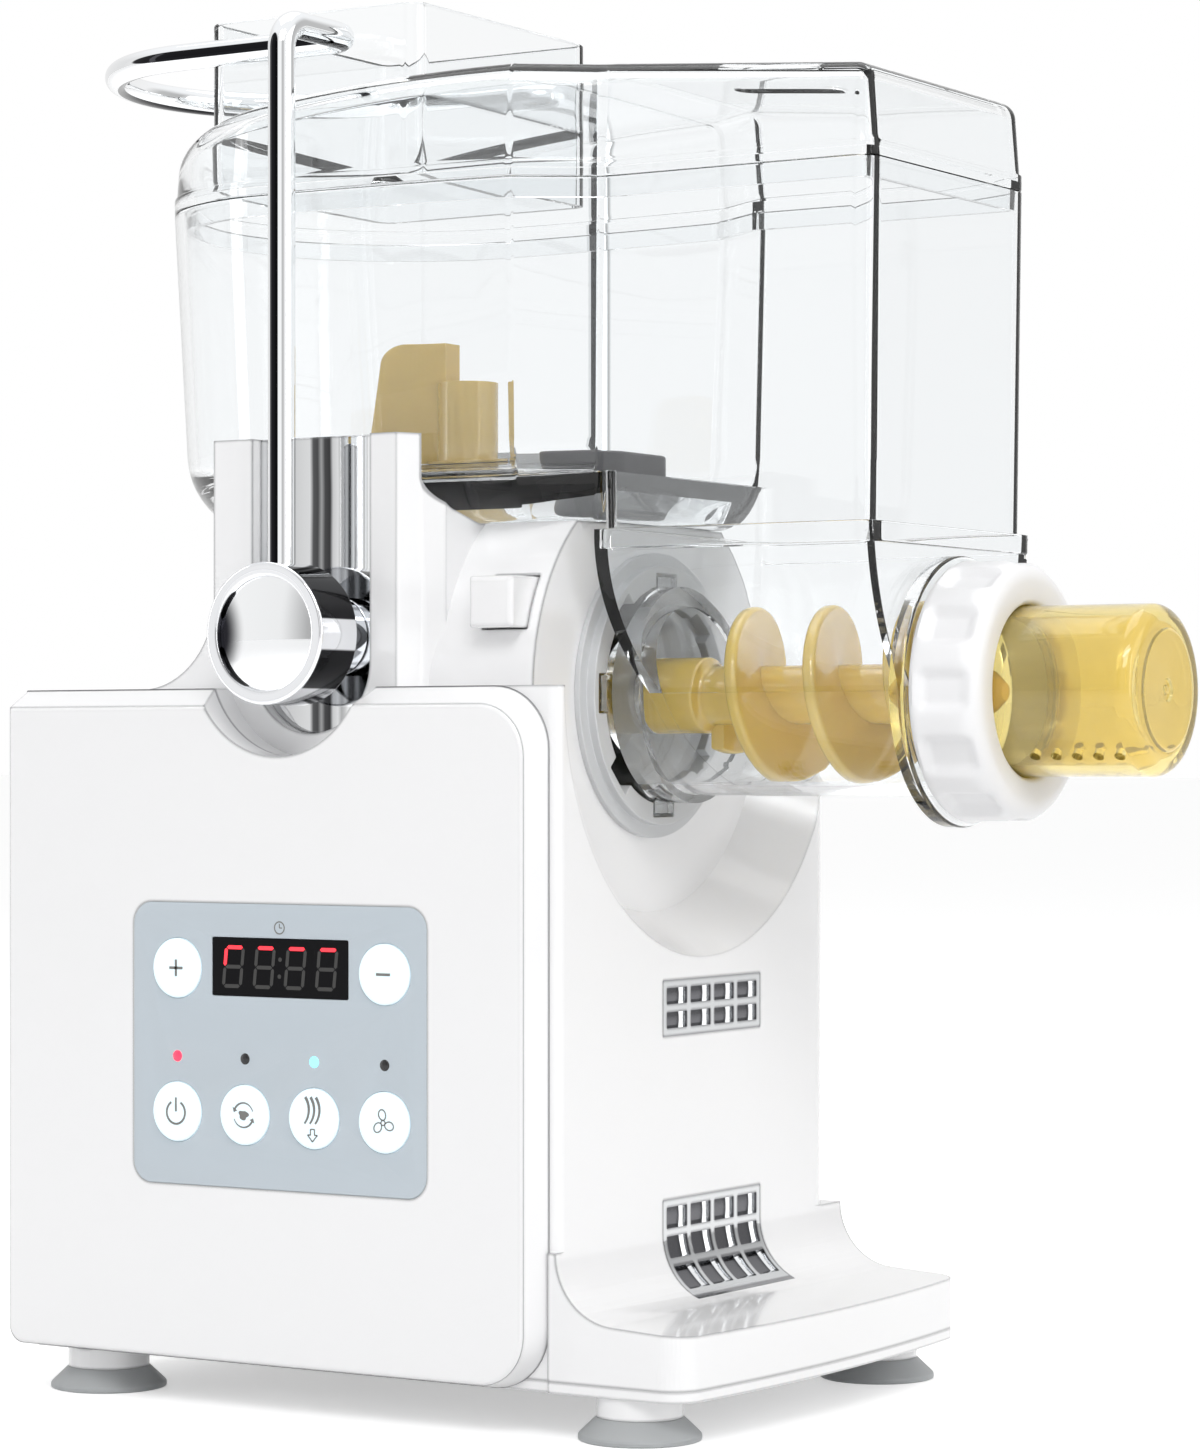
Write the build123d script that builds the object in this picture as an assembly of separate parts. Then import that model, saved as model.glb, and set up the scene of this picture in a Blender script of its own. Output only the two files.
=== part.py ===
"""Electric pasta maker: extruding machine with a clear kneading hopper and a carrying bail.

Axes: X runs forwards along the extrusion axis, Y runs from the control side to the far side,
Z runs up. Sizes are in millimetres. The drawing datum is the front face of the column (X = 0),
the symmetry plane of the extruder (Y = 0) and the surface that the machine stands on (Z = 0).
Every piece is moved by one common shift on export, so that the origin of the finished model
lies under the middle of its bounding box.
"""
from build123d import *
from math import acos, cos, pi, radians, sin, sqrt, tan
import os

# ---------------------------------------------------------------- general fits
wall = 2.5                   # moulded wall of the housing
clear_wall = 2.4             # moulded wall of the clear parts
body_gap = 0.3               # air between pieces that move past each other
running_fit = 0.05           # radial clearance of a shaft in its bearing

# ---------------------------------------------------------------- feet and base
foot_height = 9.7
cup_radius = 13.5
cup_height = 5.0
cup_lip = 1.2
cup_rim = 0.8
cup_hollow = 2.0
stub_radius = 9.5
foot_rear_inset = 17.0       # from the rear face of the column
foot_front_x = 15.4
foot_side_inset = 9.0
base_thickness = 2.5
base_bottom = foot_height
base_top = base_bottom + base_thickness
base_screw_radius = 1.6
base_screw_head_radius = 3.0
base_screw_head = 1.4
base_screw_grip = 12.0
screw_boss_radius = 4.2
screw_boss_height = 24.0
screw_rear_inset = 9.6
screw_front_x = -12.0
screw_side_inset = 6.4

# ---------------------------------------------------------------- column and ledge
column_length = 147.6
column_half_width = 63.0
column_top = 163.0
column_near_corner = 3.0
column_far_corner = 12.0
ledge_reach = 36.0           # bulged front edge of the ledge, ahead of the column face
ledge_corner_x = 31.9
ledge_overhang = 1.0         # of each side of the ledge beyond the column
ledge_corner_radius = 7.0
ledge_rim_z = 22.5
ledge_root_z = 25.0
ledge_root_x = 14.0
ledge_blend_z = 40.0         # height at which the ledge has blended into the column

# ---------------------------------------------------------------- upper block and towers
deck_z = 200.5
block_side_inset = 6.0       # from each side of the column
block_rear_x = -97.6
block_rear_blend = 21.0
block_front_x = -39.6
block_side_end_x = -46.6     # where the flat sides of the block turn inwards
block_shoulder_x = -43.9
block_cheek_inset = 9.5
tower_top = 220.0
tower_bottom = 145.0
tower_thickness = 6.0
cradle_top_z = 213.5         # rounded seat of the drum between the towers
cradle_bend_inset = 13.5
cradle_bend_z = 202.9
cradle_inner_inset = 22.5
cradle_bulge_y = 2.2
cradle_bulge_z = 1.8
trim_width = 32.7
trim_centre_z = 169.0
trim_recess = 4.4
trim_thickness = 1.4
notch_radius = 24.0
notch_centre_z = 171.4

# ---------------------------------------------------------------- extrusion axis, dish, boss
axis_z = 161.7
dish_side_wall = 3.0         # column left beside the rim of the dish
dish_flare = 10.0
dish_depth = 14.8
boss_rear_x = -45.0
collar_hole_radius = 30.0
collar_proud = 3.6
collar_outer_radius = 33.0
collar_notches = 8
collar_notch_width = 9.0
coupling_sleeve = 6.0
coupling_sleeve_wall = 4.0
spigot_radius = 24.9
lug_reach = 2.6
lug_width = 8.0

# ---------------------------------------------------------------- carrying bail
bail_x = -70.2
bail_z = 174.9
bail_rod_radius = 3.1
bail_leg_reach = 11.0        # from the side of the block
bail_rail_y = 41.0
bail_lid_gap = 7.0           # air between the closed bail and the crown of the lid
bail_rail_length = 48.4
bail_bend = 6.0
pivot_pin_radius = 4.0
pivot_pin_head = 2.0
knob_radius = 16.0
knob_inner_reach = 4.0
knob_outer_reach = 18.0
knob_bore_reach = 14.0
knob_rim = 3.2
knob_cap_depth = 1.4
pivot_collar_radius = 9.0

# ---------------------------------------------------------------- control side
cover_depth = 7.0
cover_wall = 3.0
cover_right_x = -2.0
cover_bevel_top = 4.2
cover_bevel_side = 2.7
cover_bevel_bottom = 1.3
cover_corner = 14.0
cover_left_corner = 4.0
cover_foot_z = base_bottom
panel_width = 81.0
panel_height = 64.0
panel_centre_x = -70.0
control_centre_x = -69.2      # middle of the display and of the button columns
panel_centre_z = 82.4
panel_corner = 5.0
panel_thickness = 2.0
panel_proud = 0.2
panel_rim = 3.0
display_width = 37.8
display_height = 13.3
display_z = 100.15
display_lens = 1.0
button_radius = 6.8
button_proud = 0.6
button_flange_radius = 8.0
button_flange = 0.8
button_travel = 0.6
button_row_z = 66.9
button_top_z = 99.5
button_pitch = 19.1
button_stem_radius = 2.0
light_z = 79.5
light_radius = 1.5
board_thickness = 1.6
board_inset_y = 0.5
switch_size = 6.0
board_post_radius = 2.2

# ---------------------------------------------------------------- vents
vent_centre_y = 3.0
vent_width = 44.0
vent_columns = 4
vent_rib = 1.8
upper_vent_z = 84.3
upper_vent_height = 12.7
upper_vent_rows = 2
lower_vent_z = 26.0
lower_vent_height = 21.5
lower_vent_rows = 3

# ---------------------------------------------------------------- clear hopper and lid
hopper_top = 276.0
drum_rear_centre_x = -86.0
drum_side_inset = 4.0        # from the side of the block
drum_shoulder_x = -22.0
drum_shoulder_inset = 3.5
drum_taper = 4.0
drum_floor_rise = 10.5
drum_floor_thickness = 3.0
drum_edge_radius = 18.0
drum_edge_shares = (0.42, 0.24, 0.10, 0.0)
drum_floor_bend = 3.0
throat_rear_x = -6.6
throat_step_x = -4.6
throat_front_x = 63.4
throat_half_width = 38.0
throat_corner = 5.0
throat_taper = 1.0
throat_bottom = 198.2
lid_seat = 0.2
lid_band = 4.0
lid_lean = 1.5
lid_crown_rise = 22.2
lid_crown_rear_rise = 9.5
lid_crown_front_rise = 15.3
lid_crown_x = -15.0
lid_edge = 3.0
lid_skirt_depth = 4.0
lid_skirt_wall = 2.0
chute_rear_x = -115.0
chute_front_x = -54.5
chute_half_width = 37.0
chute_rise = 18.1            # above the crown of the lid
chute_corner = 4.5
chute_wall = 2.0
pour_slot_x = 25.0
pour_slot_y = -4.0
pour_slot_length = 28.0
pour_slot_width = 7.0
threshold_gap = 1.0          # between the sweep of the paddle and the threshold
threshold_front_x = -16.0
threshold_height = 6.5
threshold_width = 28.0

# ---------------------------------------------------------------- extrusion chamber
chamber_top = 198.0
chamber_rim = 4.5
chamber_rim_half_width = 39.0
chamber_shoulder_y = 37.5
chamber_waist_y = 31.5
chamber_waist_z = 175.0
chamber_tube_radius = 23.2
chamber_bore = 20.8
chamber_heel_x = 14.0
chamber_heel_mid = (-1.0, 162.0)
chamber_end_wall = 3.0
flange_radius = 30.0
flange_thickness = 3.3
neck_radius = 24.0
neck_front_x = 79.0
nut_radius = 29.0
nut_front_x = 83.4
nut_lip = 2.4
nut_edge = 1.2
nut_lobes = 12
nut_groove_depth = 2.0
nut_groove_width = 7.0
die_radius = 18.7
die_front_x = 115.4
die_wall = 2.4
die_flange = 1.6
die_flange_radius = 23.0
die_edge = 3.0
die_hole_radius = 1.1
die_hole_pitch = 5.0
die_hole_count = 5
die_hole_rows = (-40.0, 0.0, 40.0)
auger_core_radius = 7.0
auger_flight_clearance = 0.5
auger_pitch = 20.0
auger_flight_thickness = 3.2
auger_flight_start_x = 2.0
auger_nose_x = 77.0
journal_radius = 9.0
dog_across_flats = 11.0
dog_clearance = 0.1
dog_length = 9.0

# ---------------------------------------------------------------- extruder drive
gear_module = 1.5
gear_teeth = 45
pinion_teeth = 21
gear_width = 8.0
gear_front_x = -34.0
gear_backlash = 0.16
spindle_radius = 5.0
frame_front_x = -43.0
frame_thickness = 3.0
frame_half_width = 44.0
frame_top = 186.0
frame_foot = 8.0
bearing_radius = 9.0
bearing_flange = 1.6
gearbox_radius = 26.0
gearbox_length = 22.0
motor_radius = 22.0
motor_length = 48.0
motor_shaft_radius = 3.0
motor_shaft_depth = 8.0

# ---------------------------------------------------------------- kneading drive
knead_x = -65.0
knead_shaft_radius = 4.0
knead_shaft_bottom = 184.0
knead_shaft_top = 233.0
knead_gearbox_radius = 17.0
knead_gearbox_bottom = 177.0
knead_motor_radius = 14.0
knead_motor_bottom = 141.0
deck_hole_radius = 7.0
seal_radius = 10.0
paddle_hub_radius = 7.2
paddle_hub_top = 236.0
paddle_base_radius = 9.6
paddle_base = 2.4
paddle_float = 0.4
paddle_blade_tip_x = -87.0
paddle_blade_top = 245.5
paddle_blade_front_x = -69.3
paddle_blade_thickness = 6.0
paddle_blade_sweep = 30.0

# ---------------------------------------------------------------- fan, boards, inlet
fan_z = 62.0
fan_frame_size = 50.0
fan_depth = 12.0
fan_front_x = -12.0
fan_bore = 22.5
fan_blade_radius = 21.5
fan_hub_radius = 9.0
fan_blades = 7
fan_blade_angle = 38.0
fan_pin_radius = 2.0
fan_spider = 3.0
power_board_length = 72.0
power_board_width = 66.0
power_board_z = 20.0
transformer = (-28.0, -2.0, -24.0, 4.0, 22.0)    # x0, x1, y0, y1 on the board and height
relays = ((4.0, 20.0, 2.0, 12.0, 15.0), (4.0, 20.0, 16.0, 26.0, 15.0))
capacitor = (16.0, -18.0, 8.0, 24.0)             # x, y, radius and height
gland_y = 30.0
gland_z = 30.0
gland_radius = 8.0
gland_bore = 3.6
gland_proud = 4.0

# ---------------------------------------------------------------- lock button
lock_rear_x = -29.4
lock_front_x = -17.9
lock_low_z = 176.0
lock_high_z = 187.5
lock_proud = 4.0
lock_depth = 13.0
lock_flange = 2.0
lock_flange_reach = 1.6

MIN3 = (Align.MIN, Align.MIN, Align.MIN)
UP = (Align.CENTER, Align.CENTER, Align.MIN)

# ---------------------------------------------------------------- worked-out places
foot_y = column_half_width - foot_side_inset
screw_y = column_half_width - screw_side_inset
ledge_half_width = column_half_width + ledge_overhang
block_half_width = column_half_width - block_side_inset
block_cheek_y = block_half_width - block_cheek_inset
cradle_bend_y = block_half_width - cradle_bend_inset
cradle_inner_y = block_half_width - cradle_inner_inset
dish_radius = column_half_width - dish_side_wall
dish_floor_radius = dish_radius - dish_flare
lock_outer_y = dish_floor_radius + lock_proud
lock_inner_y = dish_floor_radius - lock_depth
bail_leg_y = block_half_width + bail_leg_reach
knob_inner_y = block_half_width + knob_inner_reach
knob_outer_y = block_half_width + knob_outer_reach
knob_bore_end_y = block_half_width + knob_bore_reach
drum_radius = block_half_width - drum_side_inset
drum_shoulder_y = drum_radius - drum_shoulder_inset
foot_rear_x = foot_rear_inset - column_length
screw_rear_x = screw_rear_inset - column_length
frame_rear_x = frame_front_x - frame_thickness - frame_foot
power_board_x = (wall - column_length + frame_rear_x) / 2
lid_band_top = hopper_top + lid_band
lid_crown_top = lid_band_top + lid_crown_rise
chute_top = lid_crown_top + chute_rise
bail_top_z = lid_crown_top + bail_lid_gap + bail_rod_radius
drum_floor_z = deck_z + drum_floor_rise
blade_inner_radius = paddle_blade_sweep - paddle_blade_thickness / 2
blade_centre_x = knead_x - 2.0
blade_chord = blade_centre_x - paddle_blade_tip_x
blade_tip_y = paddle_blade_sweep - sqrt(blade_inner_radius ** 2 - blade_chord ** 2)
paddle_reach = sqrt((knead_x - paddle_blade_tip_x) ** 2 + blade_tip_y ** 2)
threshold_rear_x = knead_x + paddle_reach + threshold_gap
pinion_z = axis_z - gear_module * (gear_teeth + pinion_teeth) / 2
cover_face_y = -column_half_width - cover_depth
dish_floor_x = -dish_depth
pivot_pin_inner_y = block_half_width - tower_thickness
bail_rear_x = bail_x - bail_rail_length - bail_rail_y - bail_rod_radius
shift_x = -(bail_rear_x + die_front_x) / 2
panel_back_y = cover_face_y - panel_proud + panel_thickness
board_front_y = -column_half_width - board_inset_y
button_columns = [control_centre_x + button_pitch * (i - 1.5) for i in range(4)]


# ================================================================= helpers
def block(x0, x1, y0, y1, z0, z1):
    """Box between two opposite corners."""
    return Pos(x0, y0, z0) * Box(x1 - x0, y1 - y0, z1 - z0, align=MIN3)


def rod_x(x0, x1, radius, y=0.0, z=axis_z):
    """Cylinder along X."""
    return Pos(x0, y, z) * Rot(0, 90, 0) * Cylinder(radius, x1 - x0, align=UP)


def rod_y(y0, y1, radius, x, z):
    """Cylinder along Y."""
    return Pos(x, y0, z) * Rot(-90, 0, 0) * Cylinder(radius, y1 - y0, align=UP)


def rod_z(z0, z1, radius, x, y=0.0):
    """Cylinder along Z."""
    return Pos(x, y, z0) * Cylinder(radius, z1 - z0, align=UP)


def cone_x(x0, x1, r0, r1):
    """Cone frustum along the extrusion axis, radius r0 at x0 and r1 at x1."""
    return Pos(x0, 0, axis_z) * Rot(0, 90, 0) * Cone(r0, r1, x1 - x0, align=UP)


def side_prism(edges, y0, y1):
    """Profile drawn in X and Z, carried along Y from y0 to y1."""
    face = Plane.XZ.offset(-y0) * make_face(edges)
    return extrude(face, amount=y1 - y0, dir=(0, 1, 0))


def front_prism(edges, x0, x1):
    """Profile drawn in Y and Z, carried along X from x0 to x1."""
    return extrude(Plane.YZ.offset(x0) * make_face(edges), amount=x1 - x0)


def plan_prism(edges, z0, z1):
    """Profile drawn in X and Y, carried up from z0 to z1."""
    return extrude(Plane.XY.offset(z0) * make_face(edges), amount=z1 - z0)


def spun(points, x, y):
    """Body turned about a vertical axis at x, y from (radius, z) points."""
    face = Plane.XZ * make_face(Polyline(*points, close=True))
    return Pos(x, y, 0) * revolve(face, Axis.Z, 360)


def both_sides(piece):
    """A piece and its mirror image across the symmetry plane."""
    return piece, mirror(piece, about=Plane.XZ)


def closed(points):
    """Closed run of straight edges."""
    return Polyline(*points, close=True)


# ================================================================= base and feet
def column_plan(inset):
    """Plan of the column, drawn in by inset."""
    size_x = column_length - 2 * inset
    size_y = 2 * (column_half_width - inset)
    plan = Pos(-column_length / 2, 0) * Rectangle(size_x, size_y)
    near = plan.vertices().group_by(Axis.Y)[0]
    plan = fillet(near, max(column_near_corner - inset, 0.5))
    far = plan.vertices().group_by(Axis.Y)[-1]
    return fillet(far, max(column_far_corner - inset, 0.5))


def ledge_plan(inset):
    """Plan of the ledge in front of the column, with its bulged front edge."""
    half = ledge_half_width - inset
    side_x = ledge_corner_x - inset
    rear_x = -column_far_corner
    edges = [
        Polyline((side_x, -half), (rear_x, -half), (rear_x, half), (side_x, half)),
        ThreePointArc((side_x, half), (ledge_reach - inset, 0), (side_x, -half)),
    ]
    plan = make_face(edges)
    corners = plan.vertices().sort_by(Axis.X)[-2:]
    return fillet(corners, ledge_corner_radius - min(inset, 3.0))


def ledge_cap(inset):
    """Everything under the upper surface of the ledge, drawn in by inset."""
    rim_z = ledge_rim_z - inset
    root = (ledge_root_x - inset / 2, ledge_root_z - inset)
    blend = (-inset, ledge_blend_z)
    middle = (root[0] * 0.30 + blend[0] * 0.70, root[1] * 0.70 + blend[1] * 0.30)
    far_x = ledge_reach + 20
    edges = [
        Polyline(root, (far_x, rim_z), (far_x, 0), (-column_far_corner - 20, 0),
                 (-column_far_corner - 20, ledge_blend_z), blend),
        ThreePointArc(blend, middle, root),
    ]
    return side_prism(edges, -ledge_half_width - 10, ledge_half_width + 10)


def ledge_body(inset, z0):
    """Ledge between the base plate and its curved upper surface."""
    prism = extrude(Plane.XY.offset(z0) * ledge_plan(inset), amount=ledge_blend_z - z0 - inset)
    return prism & ledge_cap(inset)


def cover_seat(z0, z1):
    """Space outside the near wall of the column that the control cover takes."""
    return block(-column_length - 1, cover_right_x, -column_half_width - 20, -column_half_width,
                 z0, z1)


def foot_places():
    """Centres of the four feet."""
    return [(x, y) for x in (foot_front_x, foot_rear_x) for y in (-foot_y, foot_y)]


def base_screw_places():
    """Centres of the four screws that hold the base plate."""
    return [(x, y) for x in (screw_front_x, screw_rear_x) for y in (-screw_y, screw_y)]


def make_base_plate():
    """Bottom plate with the foot stubs, screw pockets and posts of the power board."""
    plan = column_plan(0) + ledge_plan(0)
    plate = extrude(Plane.XY.offset(base_bottom) * plan, amount=base_thickness)
    plate -= cover_seat(base_bottom, base_top)
    for x, y in foot_places():
        plate += rod_z(cup_height, base_bottom, stub_radius, x, y)
    for x, y in base_screw_places():
        plate -= rod_z(base_bottom, base_top, base_screw_radius, x, y)
        plate -= rod_z(base_bottom, base_bottom + base_screw_head, base_screw_head_radius, x, y)
    for x, y in power_board_posts():
        plate += rod_z(base_top, power_board_z, 3.0, x, y)
    return plate


def make_base_screws():
    """Four countersunk screws up into the bosses of the housing."""
    screws = []
    tip = base_top + base_screw_grip
    for x, y in base_screw_places():
        shank = rod_z(base_bottom, tip, base_screw_radius, x, y)
        head = rod_z(base_bottom, base_bottom + base_screw_head, base_screw_head_radius, x, y)
        screws.append(shank + head)
    return Compound(screws)


def make_suction_cup(x, y):
    """Soft cup, hollow underneath, that carries one foot stub."""
    points = [(0, cup_hollow), (cup_radius - cup_rim, 0), (cup_radius, 0), (cup_radius, cup_lip),
              (stub_radius, cup_height), (0, cup_height)]
    return spun(points, x, y)


# ================================================================= housing
def block_profile(inset):
    """Side view of the upper block, drawn in by inset; it runs down into the column."""
    low = column_top - 13.0
    rear_foot = (block_rear_x - block_rear_blend, column_top - inset)
    rear_top = (block_rear_x + inset, column_top + block_rear_blend)
    arc_r = block_rear_blend + inset
    arc_mid = (rear_foot[0] + arc_r * sin(pi / 4), rear_top[1] - arc_r * cos(pi / 4))
    top = deck_z - inset
    return [
        ThreePointArc(rear_foot, arc_mid, rear_top),
        Polyline(rear_top, (rear_top[0], top), (0, top), (0, low), (rear_foot[0], low), rear_foot),
    ]


def block_plan(inset, z0, z1):
    """Plan of block and towers drawn in by inset, carried up; its front corners turn inwards."""
    half = block_half_width - inset
    inner = half - tower_thickness
    rear_x = block_rear_x - block_rear_blend - 1
    cheek = block_cheek_y - inset
    near = [(rear_x, -half), (block_side_end_x - inset / 3, -half), (block_shoulder_x - inset, -inner),
            (block_front_x - inset, -cheek)]
    far = [(x, -y) for x, y in reversed(near)]
    return plan_prism(closed(near + far), z0, z1)


def block_body(inset):
    """Upper block drawn in by inset."""
    half = block_half_width - inset
    return side_prism(block_profile(inset), -half, half) & block_plan(inset, tower_bottom, tower_top)


def tower_wall():
    """The tower beside the drum on the near side."""
    inner = block_half_width - tower_thickness
    wall_block = block(block_rear_x, 0, -block_half_width, -inner, tower_bottom, tower_top)
    return wall_block & block_plan(0, tower_bottom, tower_top)


def cradle_wall():
    """Rounded seat of the drum at the foot of the near tower."""
    inner = block_half_width - tower_thickness
    bend = ((inner + cradle_bend_y) / 2 + cradle_bulge_y,
            (cradle_top_z + cradle_bend_z) / 2 - cradle_bulge_z)
    low = deck_z - wall
    edges = [
        ThreePointArc((-inner, cradle_top_z), (-bend[0], bend[1]), (-cradle_bend_y, cradle_bend_z)),
        Polyline((-cradle_bend_y, cradle_bend_z), (-cradle_inner_y, deck_z), (-cradle_inner_y, low),
                 (-inner - 1, low), (-inner - 1, cradle_top_z), (-inner, cradle_top_z)),
    ]
    return front_prism(edges, block_rear_x, 0) & block_plan(0, tower_bottom, tower_top)


def trim_profile(slack=0.0):
    """Side view of a pillar trim: a strip with a round lower end."""
    half = trim_width / 2 + slack
    return [
        Polyline((bail_x - half, trim_centre_z), (bail_x - half, tower_top),
                 (bail_x + half, tower_top), (bail_x + half, trim_centre_z)),
        ThreePointArc((bail_x + half, trim_centre_z), (bail_x, trim_centre_z - half),
                      (bail_x - half, trim_centre_z)),
    ]


def dish_cone(skin, floor_skin):
    """Conical recess for the chamber, grown by skin; it stops floor_skin behind its floor."""
    slope = (dish_radius - dish_floor_radius) / dish_depth
    over = 4.0
    rear_r = dish_floor_radius + skin - slope * floor_skin
    front_r = dish_radius + skin + slope * over
    return cone_x(dish_floor_x - floor_skin, over, rear_r, front_r)


def boss_body(inset, front_skin):
    """Round boss behind the dish, cut level with the deck."""
    drum = rod_x(boss_rear_x, dish_floor_x - front_skin, dish_floor_radius - inset)
    return drum - block(boss_rear_x - 1, 0, -dish_radius, dish_radius, deck_z - inset,
                        axis_z + dish_radius)


def vent_box(z0, height):
    """Opening of one vent through the front wall."""
    y0 = vent_centre_y - vent_width / 2
    return block(-wall - 1.5, ledge_root_x + 8, y0, y0 + vent_width, z0, z0 + height)


def vent_windows(z0, height, rows):
    """Windows between the ribs of a vent grille."""
    y0 = vent_centre_y - vent_width / 2
    pitch_y = (vent_width - vent_rib) / vent_columns
    pitch_z = (height - vent_rib) / rows
    cells = []
    for column in range(vent_columns):
        for row in range(rows):
            left = y0 + vent_rib + column * pitch_y
            low = z0 + vent_rib + row * pitch_z
            cells.append(block(-10, 40, left, left + pitch_y - vent_rib,
                               low, low + pitch_z - vent_rib))
    return Compound(cells)


def solid_housing():
    """Outside of the housing, before it is hollowed."""
    body = extrude(Plane.XY.offset(base_top) * column_plan(0), amount=column_top - base_top)
    body += ledge_body(0, base_top) - cover_seat(base_top, column_top)
    body += block_body(0)
    body += boss_body(0, 0)
    for piece in (*both_sides(tower_wall()), *both_sides(cradle_wall())):
        body += piece
    return body


def housing_cavity():
    """Hollow of the housing, open at the base plate."""
    room = extrude(Plane.XY.offset(base_top - 1) * column_plan(wall),
                   amount=column_top - wall - base_top + 1)
    room += ledge_body(wall, base_top - 1)
    room += block_body(wall)
    room += boss_body(wall, wall)
    room -= dish_cone(wall, wall)
    inner_y = block_half_width - tower_thickness
    for piece in both_sides(tower_wall()):
        room -= piece
    for pocket in both_sides(rod_y(-column_half_width, -inner_y, notch_radius + wall,
                                   bail_x, notch_centre_z)):
        room -= pocket
    return room


def lock_window():
    """Hole through the near side of the boss for the lock button."""
    return block(lock_rear_x - body_gap, lock_front_x + body_gap, -dish_floor_radius - 5,
                 -lock_inner_y + 1, lock_low_z - body_gap, lock_high_z + body_gap)


def board_window():
    """Opening behind the control panel, through the near wall of the column."""
    half_x = panel_width / 2 - panel_rim + 1
    half_z = panel_height / 2 - panel_rim + 1
    return block(panel_centre_x - half_x, panel_centre_x + half_x, -column_half_width - 1,
                 -column_half_width + wall + 1, panel_centre_z - half_z, panel_centre_z + half_z)


def make_housing():
    """Hollow housing with dish, notches, recesses and all its openings; and both vent grilles."""
    body = solid_housing() - housing_cavity() - dish_cone(0, 0)
    for notch in both_sides(rod_y(-column_half_width - 1, -block_half_width, notch_radius,
                                  bail_x, notch_centre_z)):
        body -= notch
    recess_y = block_half_width - trim_recess
    for recess in both_sides(side_prism(trim_profile(), -block_half_width, -recess_y)):
        body -= recess
    body -= rod_y(-block_half_width - 1, block_half_width + 1, pivot_pin_radius, bail_x, bail_z)
    body -= rod_x(dish_floor_x - wall - 1, dish_floor_x + 1, collar_hole_radius)
    body -= rod_z(deck_z - wall - 1, deck_z + 1, deck_hole_radius, knead_x)
    body -= lock_window()
    body -= board_window()
    body -= rod_x(-column_length - 1, -column_length + wall + 1, gland_radius - 2, gland_y, gland_z)
    for x, y in base_screw_places():
        body += rod_z(base_top, base_top + screw_boss_height, screw_boss_radius, x, y)
        body -= rod_z(base_top, base_top + base_screw_grip, base_screw_radius, x, y)
    grilles = []
    for z0, height, rows in ((upper_vent_z, upper_vent_height, upper_vent_rows),
                             (lower_vent_z, lower_vent_height, lower_vent_rows)):
        opening = vent_box(z0, height)
        grilles.append((body & opening) - vent_windows(z0, height, rows))
        body -= opening
    return body, grilles[0], grilles[1]


def make_bayonet_collar():
    """Grey collar in the dish floor, with notches for the lugs of the chamber."""
    bore = spigot_radius + body_gap
    ring = rod_x(dish_floor_x - wall, dish_floor_x + collar_proud, collar_hole_radius)
    ring += rod_x(dish_floor_x, dish_floor_x + collar_proud * 0.4, collar_outer_radius)
    ring -= rod_x(dish_floor_x - wall, dish_floor_x + collar_proud, bore)
    notch = block(dish_floor_x + 0.2, dish_floor_x + collar_proud + 1, -collar_notch_width / 2,
                  collar_notch_width / 2, bore - 2, bore + lug_reach + body_gap)
    for index in range(collar_notches):
        turn = 360 * index / collar_notches
        ring -= Pos(0, 0, axis_z) * Rot(turn, 0, 0) * notch
    return ring


def make_coupling_plate():
    """Dark plate that closes the collar and guides the drive spindle."""
    plate = rod_x(dish_floor_x - wall, dish_floor_x, spigot_radius + body_gap)
    rear = dish_floor_x - wall - coupling_sleeve
    plate += rod_x(rear, dish_floor_x - wall, spindle_radius + coupling_sleeve_wall)
    return plate - rod_x(rear - 1, dish_floor_x + 1, spindle_radius + running_fit)


# ================================================================= carrying bail
def make_bail_rod():
    """Bent rod: two legs, two cross-pieces and a rearward loop."""
    leg_end_z = bail_z + pivot_pin_radius + 1.5
    rail_end_x = bail_x - bail_rail_length
    near = FilletPolyline((bail_x, -bail_leg_y, leg_end_z), (bail_x, -bail_leg_y, bail_top_z),
                          (bail_x, -bail_rail_y, bail_top_z), (rail_end_x, -bail_rail_y, bail_top_z),
                          radius=bail_bend)
    loop = ThreePointArc((rail_end_x, -bail_rail_y, bail_top_z),
                         (rail_end_x - bail_rail_y, 0, bail_top_z),
                         (rail_end_x, bail_rail_y, bail_top_z))
    far = FilletPolyline((rail_end_x, bail_rail_y, bail_top_z), (bail_x, bail_rail_y, bail_top_z),
                         (bail_x, bail_leg_y, bail_top_z), (bail_x, bail_leg_y, leg_end_z),
                         radius=bail_bend)
    path = Wire(near.edges() + loop.edges() + far.edges())
    section = Plane((bail_x, -bail_leg_y, leg_end_z), z_dir=(0, 0, 1)) * Circle(bail_rod_radius)
    return sweep(section, path=path)


def make_bail_knob():
    """Turned knob that joins one leg to its pivot pin."""
    knob = rod_y(-knob_outer_y, -knob_inner_y, knob_radius, bail_x, bail_z)
    knob = chamfer(knob.edges().filter_by(GeomType.CIRCLE), 1.0)
    knob -= rod_y(-knob_outer_y - 1, -knob_outer_y + knob_cap_depth, knob_radius - knob_rim,
                  bail_x, bail_z)
    knob -= rod_y(-knob_bore_end_y, -knob_inner_y + 1, pivot_pin_radius + running_fit,
                  bail_x, bail_z)
    leg_end_z = bail_z + pivot_pin_radius + 1.5
    return knob - rod_z(leg_end_z, bail_z + knob_radius + 2, bail_rod_radius, bail_x, -bail_leg_y)


def make_knob_cap():
    """Slightly raised disc in the face of a knob."""
    cap = rod_y(-knob_outer_y, -knob_outer_y + knob_cap_depth, knob_radius - knob_rim,
                bail_x, bail_z)
    return chamfer(cap.edges().group_by(Axis.Y)[0], 0.5)


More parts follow.
